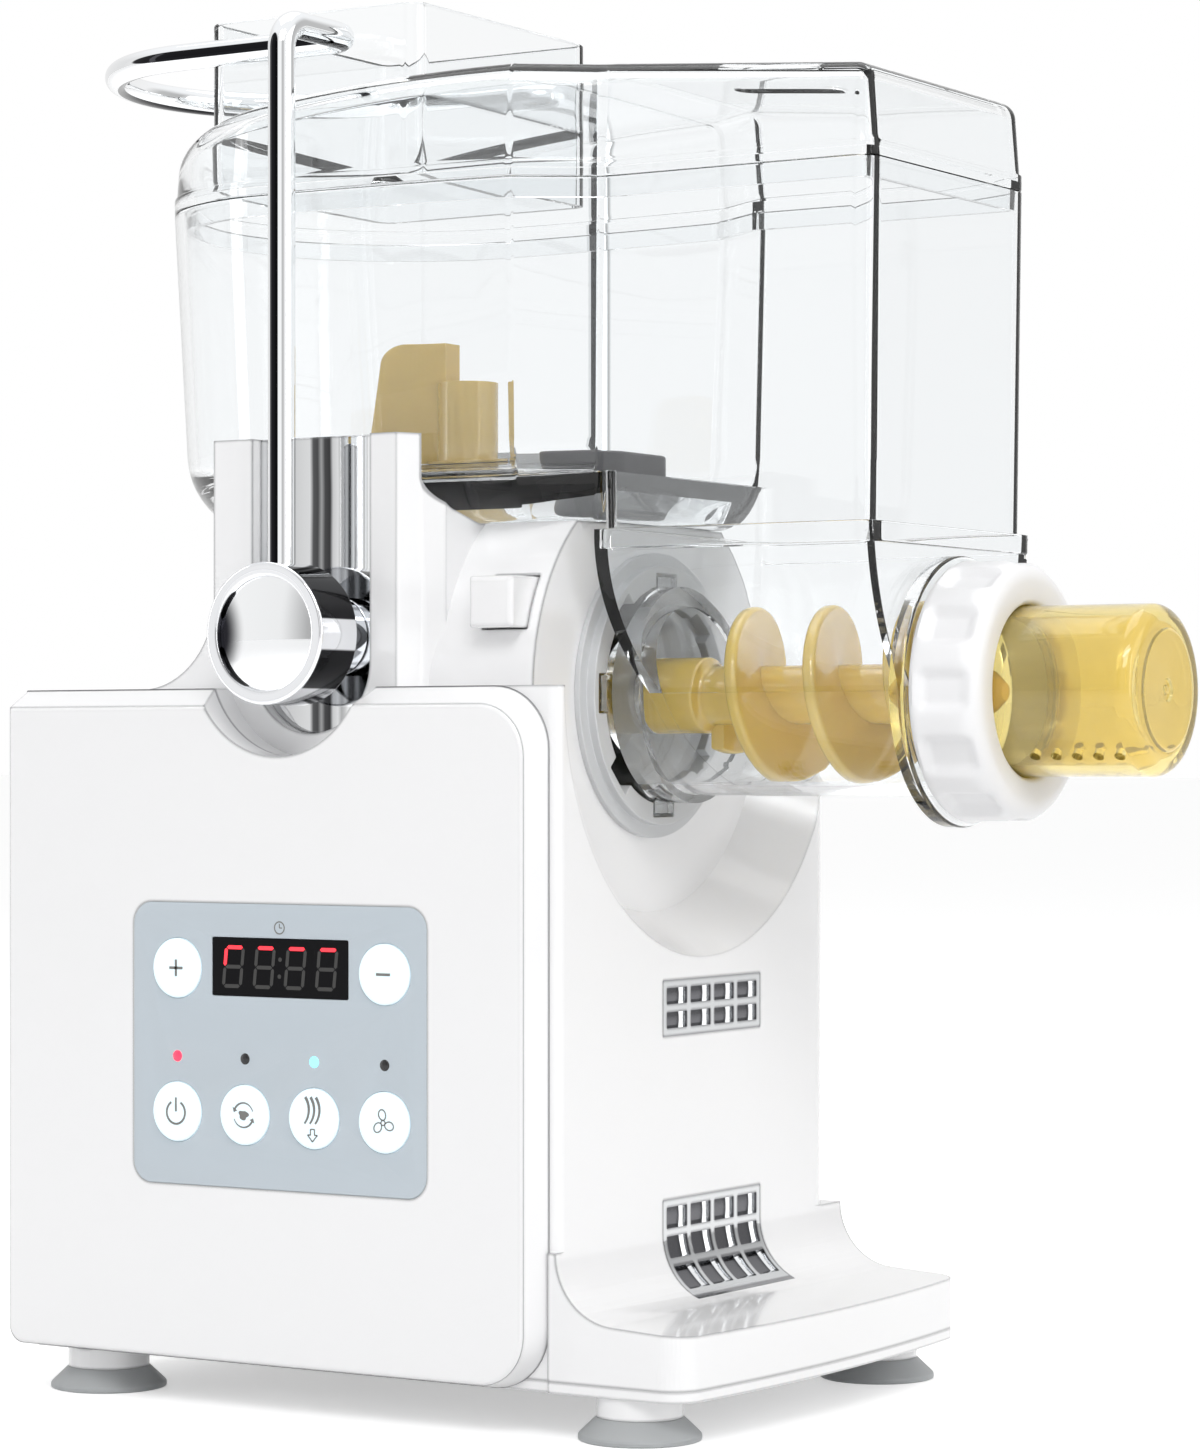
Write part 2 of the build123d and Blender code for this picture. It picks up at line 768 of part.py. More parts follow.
def make_pivot_pin():
    """Fixed pin through a tower, on which the knob turns."""
    head = rod_y(-pivot_pin_inner_y, pivot_pin_head - pivot_pin_inner_y, pivot_pin_radius + 2.5,
                 bail_x, bail_z)
    pin = rod_y(-knob_bore_end_y + body_gap, -pivot_pin_inner_y, pivot_pin_radius, bail_x, bail_z)
    return pin + head


def make_pivot_collar():
    """Bright collar between the pillar trim and the knob."""
    outer = block_half_width - trim_recess + trim_thickness
    collar = rod_y(-knob_inner_y + body_gap, -outer, pivot_collar_radius, bail_x, bail_z)
    return collar - rod_y(-knob_inner_y, -outer + 1, pivot_pin_radius, bail_x, bail_z)


def make_pillar_trim():
    """Bright strip let into the outer face of a tower."""
    inner = block_half_width - trim_recess
    trim = side_prism(trim_profile(), -inner - trim_thickness, -inner)
    return trim - rod_y(-inner - 9, -inner + 1, pivot_pin_radius, bail_x, bail_z)


# ================================================================= control side
def cover_outline(at_face):
    """Outline of the control cover at its back edge, or at its face inside the bevels."""
    top = column_top - (cover_bevel_top if at_face else 0)
    right = cover_right_x - (cover_bevel_side if at_face else 0)
    low = cover_foot_z + (cover_bevel_bottom if at_face else 0)
    left = -column_length
    radius = cover_corner - (cover_bevel_side if at_face else 0)
    small = cover_left_corner
    reach = sqrt(notch_radius ** 2 - (top - notch_centre_z) ** 2)
    diag = 1 - sin(pi / 4)
    return [
        Line((bail_x + reach, top), (right - radius, top)),
        ThreePointArc((right - radius, top), (right - radius * diag, top - radius * diag),
                      (right, top - radius)),
        Line((right, top - radius), (right, low + radius)),
        ThreePointArc((right, low + radius), (right - radius * diag, low + radius * diag),
                      (right - radius, low)),
        Line((right - radius, low), (left + small, low)),
        ThreePointArc((left + small, low), (left + small * diag, low + small * diag),
                      (left, low + small)),
        Line((left, low + small), (left, top)),
        Line((left, top), (bail_x - reach, top)),
        ThreePointArc((bail_x - reach, top), (bail_x, notch_centre_z - notch_radius),
                      (bail_x + reach, top)),
    ]


def board_posts():
    """Centres of the posts behind the control panel."""
    half_x = panel_width / 2 - panel_rim - board_post_radius
    half_z = panel_height / 2 - panel_rim - board_post_radius
    return [(panel_centre_x + sx * half_x, panel_centre_z + sz * half_z)
            for sx in (-1, 1) for sz in (-1, 1)]


def panel_slab(y0, y1, shrink=0.0, corner=panel_corner):
    """Rounded slab with the outline of the control panel."""
    outline = RectangleRounded(panel_width - 2 * shrink, panel_height - 2 * shrink, corner)
    plane = Plane((panel_centre_x, y0, panel_centre_z), x_dir=(1, 0, 0), z_dir=(0, 1, 0))
    return extrude(plane * outline, amount=y1 - y0)


def make_control_cover():
    """Bevelled side cover with a seat for the control panel."""
    back = Plane.XZ.offset(column_half_width) * make_face(cover_outline(False))
    face = Plane.XZ.offset(-cover_face_y) * make_face(cover_outline(True))
    cover = loft([back, face], ruled=True)
    room_top = notch_centre_z - notch_radius - cover_wall
    cover -= block(-column_length + cover_wall, cover_right_x - 3 * cover_wall,
                   cover_face_y + cover_wall, -column_half_width + 1,
                   cover_foot_z + cover_corner, room_top)
    cover -= panel_slab(cover_face_y - 1, panel_back_y)
    cover -= panel_slab(panel_back_y - 1, cover_face_y + cover_wall + 1, panel_rim,
                        panel_corner - panel_rim + 1)
    for x, z in board_posts():
        post = rod_y(panel_back_y, board_front_y, board_post_radius, x, z)
        cover += post
    return cover


def button_places():
    """Name and centre of each push button."""
    left, knead, extrude_column, right = button_columns
    return {
        "time_up_button": (left, button_top_z),
        "time_down_button": (right, button_top_z),
        "power_button": (left, button_row_z),
        "knead_button": (knead, button_row_z),
        "extrude_button": (extrude_column, button_row_z),
        "fan_button": (right, button_row_z),
    }


def display_block(y0, y1, shrink=0.0):
    """Rectangular slab at the place of the display."""
    half_x = display_width / 2 - shrink
    half_z = display_height / 2 - shrink
    return block(control_centre_x - half_x, control_centre_x + half_x, y0, y1,
                 display_z - half_z, display_z + half_z)


def make_control_panel():
    """Satin panel with openings for the display, the buttons and the lights."""
    front = cover_face_y - panel_proud
    panel = panel_slab(front, panel_back_y)
    panel -= display_block(front - 1, panel_back_y + 1)
    for x, z in button_places().values():
        panel -= rod_y(front - 1, panel_back_y + 1, button_radius + body_gap / 2, x, z)
    for x in button_columns:
        panel -= rod_y(front - 1, panel_back_y + 1, light_radius, x, light_z)
    return panel


def make_display_window():
    """Dark lens over the digits."""
    front = cover_face_y - panel_proud
    return display_block(front, front + display_lens)


def make_display_module():
    """Digit module between the lens and the control board."""
    front = cover_face_y - panel_proud
    return display_block(front + display_lens, board_front_y, 0.2)


def make_indicator_lights():
    """Four light pipes above the lower row of buttons."""
    front = cover_face_y - panel_proud - 0.1
    return Compound([rod_y(front, board_front_y, light_radius, x, light_z)
                     for x in button_columns])


def make_control_board():
    """Circuit board with one push switch behind each button."""
    half_x = panel_width / 2 - panel_rim
    half_z = panel_height / 2 - panel_rim
    board = block(panel_centre_x - half_x, panel_centre_x + half_x, board_front_y,
                  board_front_y + board_thickness, panel_centre_z - half_z,
                  panel_centre_z + half_z)
    switch_top = panel_back_y + 0.1 + button_flange + 0.3 + button_travel + 0.1
    for x, z in button_places().values():
        half = switch_size / 2
        board += block(x - half, x + half, switch_top, board_front_y, z - half, z + half)
    return board


def make_button(x, z):
    """Round button cap with a retaining flange and a short stem."""
    front = cover_face_y - panel_proud - button_proud
    flange_y = panel_back_y + 0.1
    cap = rod_y(front, flange_y, button_radius, x, z)
    cap = chamfer(cap.edges().group_by(Axis.Y)[0], 0.4)
    cap += rod_y(flange_y, flange_y + button_flange, button_flange_radius, x, z)
    return cap + rod_y(flange_y, flange_y + button_flange + 0.3, button_stem_radius, x, z)


# ================================================================= hopper and lid
def drum_side(inset):
    """Rear arc and one side arc of the drum, from the near shoulder round to the far shoulder."""
    radius = drum_radius - inset
    shoulder = (drum_shoulder_x - inset / 3, drum_shoulder_y - inset)
    bend = ((drum_rear_centre_x + shoulder[0]) / 2, (radius + shoulder[1]) / 2 + 0.9)
    return shoulder, [
        ThreePointArc((shoulder[0], -shoulder[1]), (bend[0], -bend[1]),
                      (drum_rear_centre_x, -radius)),
        ThreePointArc((drum_rear_centre_x, -radius), (drum_rear_centre_x - radius, 0),
                      (drum_rear_centre_x, radius)),
        ThreePointArc((drum_rear_centre_x, radius), bend, shoulder),
    ]


def hopper_face(z, drum_inset, throat_inset):
    """Plan of drum and throat together at height z, each drawn in by its own inset."""
    shoulder, arcs = drum_side(drum_inset)
    half = throat_half_width - throat_inset
    step = throat_step_x - drum_inset / 3
    front = throat_front_x - throat_inset
    corner = max(throat_corner - throat_inset, 1.0)
    bend = corner * (1 - sin(pi / 4))
    edges = arcs + [
        Line(shoulder, (step, half)),
        Line((step, half), (front - corner, half)),
        ThreePointArc((front - corner, half), (front - bend, half - bend), (front, half - corner)),
        Line((front, half - corner), (front, corner - half)),
        ThreePointArc((front, corner - half), (front - bend, bend - half), (front - corner, -half)),
        Line((front - corner, -half), (step, -half)),
        Line((step, -half), (shoulder[0], -shoulder[1])),
    ]
    return Plane.XY.offset(z) * make_face(edges)


def drum_face(z, inset):
    """Plan of the drum alone at height z, closed straight across at the throat."""
    shoulder, arcs = drum_side(inset)
    half = throat_half_width - inset / 2
    step = throat_step_x - inset / 3
    edges = arcs + [Polyline(shoulder, (step, half), (step, -half), (shoulder[0], -shoulder[1]))]
    return Plane.XY.offset(z) * make_face(edges)


def throat_face(z, inset):
    """Plan of the straight section above the chamber, at height z."""
    front = throat_front_x - inset
    half = throat_half_width - inset
    rear = throat_rear_x + inset
    plan = RectangleRounded(front - rear, 2 * half, max(throat_corner - inset, 1.0))
    return Plane.XY.offset(z) * Pos((front + rear) / 2, 0) * plan


def clear_loft(levels):
    """Straight-walled body through (z, drum inset, throat inset) levels."""
    return loft([hopper_face(*level) for level in levels], ruled=True)


def drum_lean(z):
    """Inward lean of the drum wall at height z, with the round edge of its underside."""
    lean = drum_taper * (hopper_top - z) / (hopper_top - deck_z)
    rise = min(z - deck_z, drum_edge_radius)
    return lean + drum_edge_radius - sqrt(drum_edge_radius ** 2 - (drum_edge_radius - rise) ** 2)


def throat_lean(z):
    """Inward lean of the throat wall at height z."""
    return throat_taper * (hopper_top - z) / (hopper_top - throat_bottom)


def make_hopper():
    """Clear hopper: drum with a raised floor, opening forwards into the chamber throat."""
    over = 1.0
    edge_z = deck_z + drum_edge_radius
    edge_drum = drum_lean(edge_z)
    floor_throat = throat_lean(drum_floor_z)
    hopper = clear_loft([(hopper_top, 0, 0), (edge_z, edge_drum, throat_lean(edge_z)),
                         (drum_floor_z, drum_lean(drum_floor_z), floor_throat)])
    rises = [drum_floor_z - deck_z] + [drum_edge_radius * share for share in drum_edge_shares]
    hopper += loft([drum_face(deck_z + rise, drum_lean(deck_z + rise)) for rise in rises], ruled=True)
    hopper += loft([throat_face(drum_floor_z, floor_throat),
                    throat_face(throat_bottom, throat_taper)], ruled=True)
    inner_edge = clear_wall + edge_drum
    inner_floor = clear_wall + drum_lean(drum_floor_z) + drum_floor_bend
    hopper -= clear_loft([(hopper_top + over, clear_wall, clear_wall),
                          (edge_z, inner_edge, clear_wall + throat_lean(edge_z)),
                          (drum_floor_z, inner_floor, clear_wall + floor_throat)])
    hopper -= loft([throat_face(drum_floor_z + over, clear_wall + floor_throat),
                    throat_face(throat_bottom - over, clear_wall + throat_taper)], ruled=True)
    under = clear_wall + drum_taper + drum_edge_radius
    hopper -= loft([drum_face(drum_floor_z - drum_floor_thickness, under - drum_floor_bend),
                    drum_face(deck_z - over, under + over)], ruled=True)
    hopper += rod_z(deck_z, drum_floor_z, seal_radius + clear_wall, knead_x)
    return hopper - rod_z(deck_z - 1, drum_floor_z + 1, seal_radius, knead_x)


def lid_shell(inset, z0):
    """Outside of the lid drawn in by inset: leaning walls under a crowned top."""
    high = lid_crown_top + 12
    lean = lid_lean * (high - lid_band_top) / (lid_crown_top - lid_band_top)
    body = clear_loft([(z0, inset, inset), (lid_band_top, inset, inset),
                       (high, inset + lean, inset + lean)])
    rear = (drum_rear_centre_x - drum_radius - 5, lid_band_top + lid_crown_rear_rise - inset)
    crown = (lid_crown_x, lid_crown_top - inset)
    front = (throat_front_x + 5, lid_band_top + lid_crown_front_rise - inset)
    edges = [
        ThreePointArc(rear, crown, front),
        Polyline(front, (front[0], z0 - 5), (rear[0], z0 - 5), rear),
    ]
    return body & side_prism(edges, -drum_radius - 5, drum_radius + 5)


def chute_body(inset, z0, z1):
    """Filling chute on the lid, drawn in by inset."""
    middle = (chute_rear_x + chute_front_x) / 2
    plan = RectangleRounded(chute_front_x - chute_rear_x - 2 * inset,
                            2 * (chute_half_width - inset), chute_corner - inset)
    return extrude(Plane.XY.offset(z0) * Pos(middle, 0) * plan, amount=z1 - z0)


def make_lid():
    """Clear lid with locating skirt, crowned top, filling chute and pouring slot."""
    low = hopper_top + lid_seat
    skirt_low = hopper_top - lid_skirt_depth
    outer = clear_wall + body_gap
    inner = outer + lid_skirt_wall
    shell = lid_shell(0, low)
    crown = shell.faces().sort_by(Axis.Z)[-1]
    lid = fillet(crown.edges(), lid_edge) + chute_body(0, lid_band_top, chute_top)
    lid += clear_loft([(low + 1, outer, outer), (skirt_low, outer + 0.3, outer + 0.3)])
    lid -= lid_shell(clear_wall, low + clear_wall)
    lid -= clear_loft([(low + 2 * clear_wall, inner, inner), (skirt_low - 1, inner, inner)])
    lid -= chute_body(chute_wall, lid_band_top, chute_top + 1)
    slot = Pos(pour_slot_x, pour_slot_y) * SlotOverall(pour_slot_length, pour_slot_width)
    return lid - extrude(Plane.XY.offset(lid_band_top) * slot, amount=40)


def make_threshold():
    """Low dark block on the drum floor, at the way into the throat."""
    span = threshold_front_x - threshold_rear_x
    plan = Pos((threshold_front_x + threshold_rear_x) / 2, 0) * RectangleRounded(
        span, threshold_width, 6.0)
    piece = extrude(Plane.XY.offset(drum_floor_z) * plan, amount=threshold_height)
    return piece - rod_z(drum_floor_z + 2, drum_floor_z + threshold_height + 1,
                         threshold_width * 0.36, (threshold_front_x + threshold_rear_x) / 2)


# ================================================================= extrusion chamber
def chamber_section(inset):
    """Cross-section of the chamber: a funnel over the auger tube."""
    tube = chamber_tube_radius - inset
    shoulder = (chamber_shoulder_y - inset, chamber_top)
    waist = (chamber_waist_y - inset, chamber_waist_z)
    low = axis_z - tube
    return [
        Polyline((-shoulder[0], shoulder[1]), shoulder),
        ThreePointArc(shoulder, waist, (tube, axis_z)),
        ThreePointArc((tube, axis_z), (0, low), (-tube, axis_z)),
        ThreePointArc((-tube, axis_z), (-waist[0], waist[1]), (-shoulder[0], shoulder[1])),
    ]


def chamber_body(inset):
    """Chamber drawn in by inset, with its curved rear wall."""
    front = throat_front_x - inset
    body = front_prism(chamber_section(inset), throat_rear_x, front)
    heel = (chamber_heel_x + inset, 0)
    rear = throat_rear_x + inset
    mid = (chamber_heel_mid[0] + inset, chamber_heel_mid[1])
    low = axis_z - chamber_tube_radius - 1
    edges = [
        ThreePointArc((rear, chamber_top + 1), mid, (heel[0], low)),
        Polyline((heel[0], low), (front + 1, low), (front + 1, chamber_top + 1),
                 (rear, chamber_top + 1)),
    ]
    return body & side_prism(edges, -chamber_rim_half_width, chamber_rim_half_width)


def make_chamber():
    """Clear extrusion chamber: rim, funnel, auger tube, rear spigot and threaded neck."""
    spigot_rear = dish_floor_x + body_gap
    body = chamber_body(0)
    body += rod_x(spigot_rear, chamber_heel_x, spigot_radius) & (
        rod_x(spigot_rear, chamber_heel_x, chamber_tube_radius) +
        rod_x(spigot_rear, throat_rear_x + 4, spigot_radius))
    lug_end = dish_floor_x + collar_proud
    for index in range(0, collar_notches, 2):
        lug = block(spigot_rear + 0.3, lug_end, -lug_width / 2, lug_width / 2,
                    spigot_radius - 1, spigot_radius + lug_reach)
        body += Pos(0, 0, axis_z) * Rot(360 * index / collar_notches, 0, 0) * lug
    rim_plan = Pos((throat_rear_x + throat_front_x + 1) / 2, 0) * RectangleRounded(
        throat_front_x + 1 - throat_rear_x, 2 * chamber_rim_half_width, throat_corner)
    body += extrude(Plane.XY.offset(chamber_top - chamber_rim) * rim_plan, amount=chamber_rim)
    body += rod_x(throat_front_x, throat_front_x + flange_thickness, flange_radius)
    body += rod_x(throat_front_x, neck_front_x, neck_radius)
    body -= chamber_body(clear_wall)
    mouth = Pos((throat_rear_x + throat_front_x) / 2, 0) * RectangleRounded(
        throat_front_x - throat_rear_x - 2 * clear_wall,
        2 * (chamber_shoulder_y - clear_wall), 2.0)
    body -= extrude(Plane.XY.offset(chamber_top - chamber_rim) * mouth, amount=chamber_rim + 1)
    body -= rod_x(spigot_rear + chamber_end_wall, neck_front_x + 1, chamber_bore)
    return body - rod_x(spigot_rear - 1, throat_front_x, journal_radius + running_fit)


def make_die():
    """Amber extrusion die: flanged tube with a closed end and rows of small outlets below."""
    die = rod_x(neck_front_x, die_front_x, die_radius)
    die = fillet(die.edges().group_by(Axis.X)[-1], die_edge)
    die += rod_x(neck_front_x, neck_front_x + die_flange, die_flange_radius)
    die -= rod_x(neck_front_x - 1, die_front_x - die_wall, die_radius - die_wall)
    last_x = die_front_x - die_edge - 3.0
    for angle in die_hole_rows:
        for index in range(die_hole_count):
            x = last_x - index * die_hole_pitch
            hole = Cylinder(die_hole_radius, die_radius + 2, align=UP)
            die -= Pos(x, 0, axis_z) * Rot(180 + angle, 0, 0) * hole
    return die


def make_ring_nut():
    """White grip nut that clamps the die to the neck of the chamber."""
    rear = throat_front_x + flange_thickness + body_gap
    nut = rod_x(rear, nut_front_x, nut_radius)
    nut = chamfer(nut.edges().filter_by(GeomType.CIRCLE), nut_edge)
    groove = block(rear + 2.5, nut_front_x - 2.5, -nut_groove_width / 2, nut_groove_width / 2,
                   nut_radius - nut_groove_depth, nut_radius + 5)
    for index in range(nut_lobes):
        nut -= Pos(0, 0, axis_z) * Rot(360 * index / nut_lobes, 0, 0) * groove
    nut -= rod_x(rear - 1, nut_front_x - nut_lip, neck_radius + running_fit)
    return nut - rod_x(rear, nut_front_x + 1, die_radius + body_gap)


def hexagon(across_flats, x0, x1):
    """Hexagonal bar along the extrusion axis."""
    bar = RegularPolygon(across_flats / 2, 6, major_radius=False)
    return extrude(Plane((x0, 0, axis_z), x_dir=(0, 1, 0), z_dir=(1, 0, 0)) * bar, amount=x1 - x0)


def make_auger():
    """Feed screw: journal with a hexagonal socket, core, one helical flight and a nose."""
    rear = dish_floor_x + body_gap
    body = rod_x(rear, auger_flight_start_x, journal_radius)
    body += rod_x(auger_flight_start_x, auger_nose_x - 8, auger_core_radius)
    body += cone_x(auger_nose_x - 8, auger_nose_x, auger_core_radius, 2.0)
    flight_radius = chamber_bore - auger_flight_clearance
    length = auger_nose_x - 10 - auger_flight_start_x - auger_flight_thickness
    helix = Helix(pitch=auger_pitch, height=length, radius=auger_core_radius)
    start = helix @ 0
    section = Plane(start, x_dir=(1, 0, 0), z_dir=helix % 0)
    blade = section * Pos((flight_radius - auger_core_radius) / 2 - 0.5, 0) * Rectangle(
        flight_radius - auger_core_radius + 1.0, auger_flight_thickness)
    flight = sweep(blade, path=Wire(helix.edges()), is_frenet=True)
    place = Pos(auger_flight_start_x + auger_flight_thickness, 0, axis_z) * Rot(0, 90, 0)
    body += place * flight
    return body - hexagon(dog_across_flats + 2 * dog_clearance, rear - 1,
                          dish_floor_x + dog_length + 2 * body_gap)


# ================================================================= extruder drive
def involute_point(base, radius, turn):
    """Point of a tooth flank at the given radius, turned by an angle."""
    roll = sqrt(max((radius / base) ** 2 - 1, 0))
    angle = roll - acos(min(base / radius, 1.0)) + turn
    return radius * cos(angle), radius * sin(angle)


def gear_face(teeth, phase):
    """Flat involute gear outline with its first tooth at the phase angle."""
    pitch_r = gear_module * teeth / 2
    base = pitch_r * cos(radians(20))
    outer = pitch_r + gear_module * 0.92
    root = pitch_r - gear_module * 1.22
    half_tooth = pi / (2 * teeth) - gear_backlash / (2 * pitch_r)
    flank_turn = half_tooth + tan(radians(20)) - radians(20)
    low = max(base, root + 0.1)
    radii = [low + (outer - low) * step / 3 for step in range(4)]
    points = []
    for tooth in range(teeth):
        centre = phase + 2 * pi * tooth / teeth
        flank = [involute_point(base, r, -flank_turn) for r in radii]
        left = [(x, y) for x, y in flank]
        right = [(x, -y) for x, y in reversed(flank)]
        foot_angle = pi / teeth * 0.98
        foot = (root * cos(foot_angle), -root * sin(foot_angle))
        toe_angle = flank_turn + 0.004
        toe = (root * cos(toe_angle), -root * sin(toe_angle))
        heel = (toe[0], -toe[1])
        for x, y in [foot, toe] + left + right + [heel]:
            points.append((x * cos(centre) - y * sin(centre), x * sin(centre) + y * cos(centre)))
    return make_face(Polyline(*points, close=True))


def gear_body(teeth, phase, z):
    """Spur gear about an axis parallel to the extrusion axis."""
    plane = Plane((gear_front_x - gear_width, 0, z), x_dir=(0, 1, 0), z_dir=(1, 0, 0))
    return extrude(plane * gear_face(teeth, phase), amount=gear_width)


def make_drive_gear():
    """Large gear on the spindle, with a tooth gap towards the pinion."""
    phase = -pi / 2 + pi / gear_teeth
    gear = gear_body(gear_teeth, phase, axis_z)
    web = gear_module * gear_teeth / 2 - 5
    for x0 in (gear_front_x - gear_width, gear_front_x - 2):
        ring = rod_x(x0, x0 + 2, web) - rod_x(x0, x0 + 2, 2 * spindle_radius)
        gear -= ring
    return gear - rod_x(gear_front_x - gear_width - 1, gear_front_x + 1, spindle_radius)


def make_drive_spindle():
    """Shaft from the gear to the hexagonal drive dog."""
    rear = frame_front_x - frame_thickness - bearing_flange - 2
    spindle = rod_x(rear, dish_floor_x, spindle_radius)
    return spindle + hexagon(dog_across_flats * 0.999, dish_floor_x, dish_floor_x + dog_length)


def make_motor_pinion():
    """Pinion with the motor shaft that drives it."""
    pinion = gear_body(pinion_teeth, pi / 2, pinion_z)
    rear = frame_front_x - frame_thickness - motor_shaft_depth
    return pinion + rod_x(rear, gear_front_x - gear_width, motor_shaft_radius, 0, pinion_z)


def make_extrude_motor():
    """Gearbox and motor behind the drive frame."""
    front = frame_front_x - frame_thickness
    body = rod_x(front - gearbox_length, front, gearbox_radius, 0, pinion_z)
    body += rod_x(front - gearbox_length - motor_length, front, motor_radius, 0, pinion_z)
    body += rod_x(front, frame_front_x, 3 * motor_shaft_radius, 0, pinion_z)
    return body - rod_x(front - motor_shaft_depth - 1, frame_front_x + 1,
                        motor_shaft_radius + running_fit, 0, pinion_z)


def make_drive_frame():
    """Upright steel frame on the base plate, which carries the motor and the spindle."""
    rear = frame_front_x - frame_thickness
    frame = block(rear, frame_front_x, -frame_half_width, frame_half_width, base_top, frame_top)
    frame += block(frame_rear_x, frame_front_x, -frame_half_width, frame_half_width,
                   base_top, base_top + frame_thickness)
    corners = frame.edges().filter_by(Axis.X).group_by(Axis.Z)[-1]
    frame = fillet(corners, 12.0)
    frame -= rod_x(rear - 1, frame_front_x + 1, 3 * motor_shaft_radius, 0, pinion_z)
    return frame - rod_x(rear - 1, frame_front_x + 1, bearing_radius)


def make_spindle_bearing():
    """Flanged bush of the spindle in the drive frame."""
    rear = frame_front_x - frame_thickness
    bush = rod_x(rear - bearing_flange, frame_front_x, bearing_radius)
    bush += rod_x(rear - bearing_flange, rear, bearing_radius + 2)
    return bush - rod_x(rear - 3, frame_front_x + 1, spindle_radius + running_fit)


# ================================================================= kneading drive
def make_knead_gearmotor():
    """Upright gearmotor hung under the deck."""
    top = deck_z - wall
    body = rod_z(knead_gearbox_bottom, top, knead_gearbox_radius, knead_x)
    body += rod_z(knead_motor_bottom, knead_gearbox_bottom, knead_motor_radius, knead_x)
    return body - rod_z(knead_shaft_bottom - 1, top + 1, knead_shaft_radius + running_fit, knead_x)


def make_knead_shaft():
    """Vertical shaft from the gearmotor up into the drum."""
    return rod_z(knead_shaft_bottom, knead_shaft_top, knead_shaft_radius, knead_x)


def make_shaft_seal():
    """Lipped rubber seal of the shaft in the drum floor."""
    seal = rod_z(deck_z, drum_floor_z, seal_radius, knead_x)
    return seal - rod_z(deck_z - 1, drum_floor_z + 1, knead_shaft_radius + running_fit, knead_x)


def make_paddle():
    """Kneading paddle: hub with a base flange and one tall swept blade."""
    low = drum_floor_z + paddle_float
    hub = rod_z(low, paddle_hub_top, paddle_hub_radius, knead_x)
    hub += rod_z(low, low + paddle_base, paddle_base_radius, knead_x)
    lean = 3.0
    corner = 5.0
    tip = paddle_blade_tip_x
    edges = [
        Polyline((tip + lean, paddle_blade_top - corner), (tip, low), (knead_x, low),
                 (knead_x, paddle_hub_top), (paddle_blade_front_x, paddle_hub_top),
                 (paddle_blade_front_x, paddle_blade_top),
                 (tip + lean + corner, paddle_blade_top)),
        ThreePointArc((tip + lean + corner, paddle_blade_top),
                      (tip + lean + corner * 0.3, paddle_blade_top - corner * 0.3),
                      (tip + lean, paddle_blade_top - corner)),
    ]
    side = side_prism(edges, -40, 40)
    outer = paddle_blade_sweep + paddle_blade_thickness / 2
    arc = rod_z(low, paddle_blade_top, outer, blade_centre_x, -paddle_blade_sweep)
    arc -= rod_z(low - 1, paddle_blade_top + 1, blade_inner_radius, blade_centre_x,
                 -paddle_blade_sweep)
    hub += side & arc & block(tip - 5, knead_x, -40, 10, low, paddle_blade_top)
    return hub - rod_z(low - 1, knead_shaft_top, knead_shaft_radius, knead_x)


# ================================================================= fan, boards, inlet
def make_fan_frame():
    """Square fan frame with a rear spider and posts to the front wall."""
    half = fan_frame_size / 2
    rear = fan_front_x - fan_depth
    frame = block(rear, fan_front_x, -half, half, fan_z - half, fan_z + half)
    frame -= rod_x(rear - 1, fan_front_x + 1, fan_bore, 0, fan_z)
    spider = rod_x(rear, rear + fan_spider, fan_hub_radius - 1, 0, fan_z)
    for turn in (0, 120, 240):
        arm = block(rear, rear + fan_spider, -1.5, 1.5, 0, fan_bore + 1)
        spider += Pos(0, 0, fan_z) * Rot(turn, 0, 0) * arm
    frame += spider
    for y in (-half + 4, half - 4):
        for z in (fan_z - half + 7, fan_z + half - 4):
            frame += rod_x(fan_front_x, -wall, 3.0, y, z)
    return frame - rod_x(rear - 1, rear + fan_spider + 1, fan_pin_radius + running_fit, 0, fan_z)


def make_fan_rotor():
    """Fan wheel with inclined blades on a short pin."""
    rear = fan_front_x - fan_depth
    hub_rear = rear + fan_spider + 0.4
    rotor = rod_x(hub_rear, fan_front_x - 0.5, fan_hub_radius, 0, fan_z)
    rotor += rod_x(rear, hub_rear, fan_pin_radius, 0, fan_z)
    middle = (hub_rear + fan_front_x) / 2
    span = fan_blade_radius - fan_hub_radius + 1
    for index in range(fan_blades):
        blade = Pos(0, 0, fan_hub_radius - 1) * Rot(0, 0, fan_blade_angle) * Box(
            7.0, 1.2, span, align=UP)
        rotor += Pos(middle, 0, fan_z) * Rot(360 * index / fan_blades, 0, 0) * blade
    return rotor


def power_board_posts():
    """Centres of the posts of the power board."""
    half_x = power_board_length / 2 - 5
    half_y = power_board_width / 2 - 5
    return [(power_board_x + sx * half_x, sy * half_y) for sx in (-1, 1) for sy in (-1, 1)]


def make_power_board():
    """Mains circuit board with transformer, capacitor and relays."""
    half_x = power_board_length / 2
    half_y = power_board_width / 2
    top = power_board_z + board_thickness
    board = block(power_board_x - half_x, power_board_x + half_x, -half_y, half_y,
                  power_board_z, top)
    for x0, x1, y0, y1, height in (transformer, *relays):
        board += block(power_board_x + x0, power_board_x + x1, y0, y1, top, top + height)
    x, y, radius, height = capacitor
    return board + rod_z(top, top + height, radius, power_board_x + x, y)


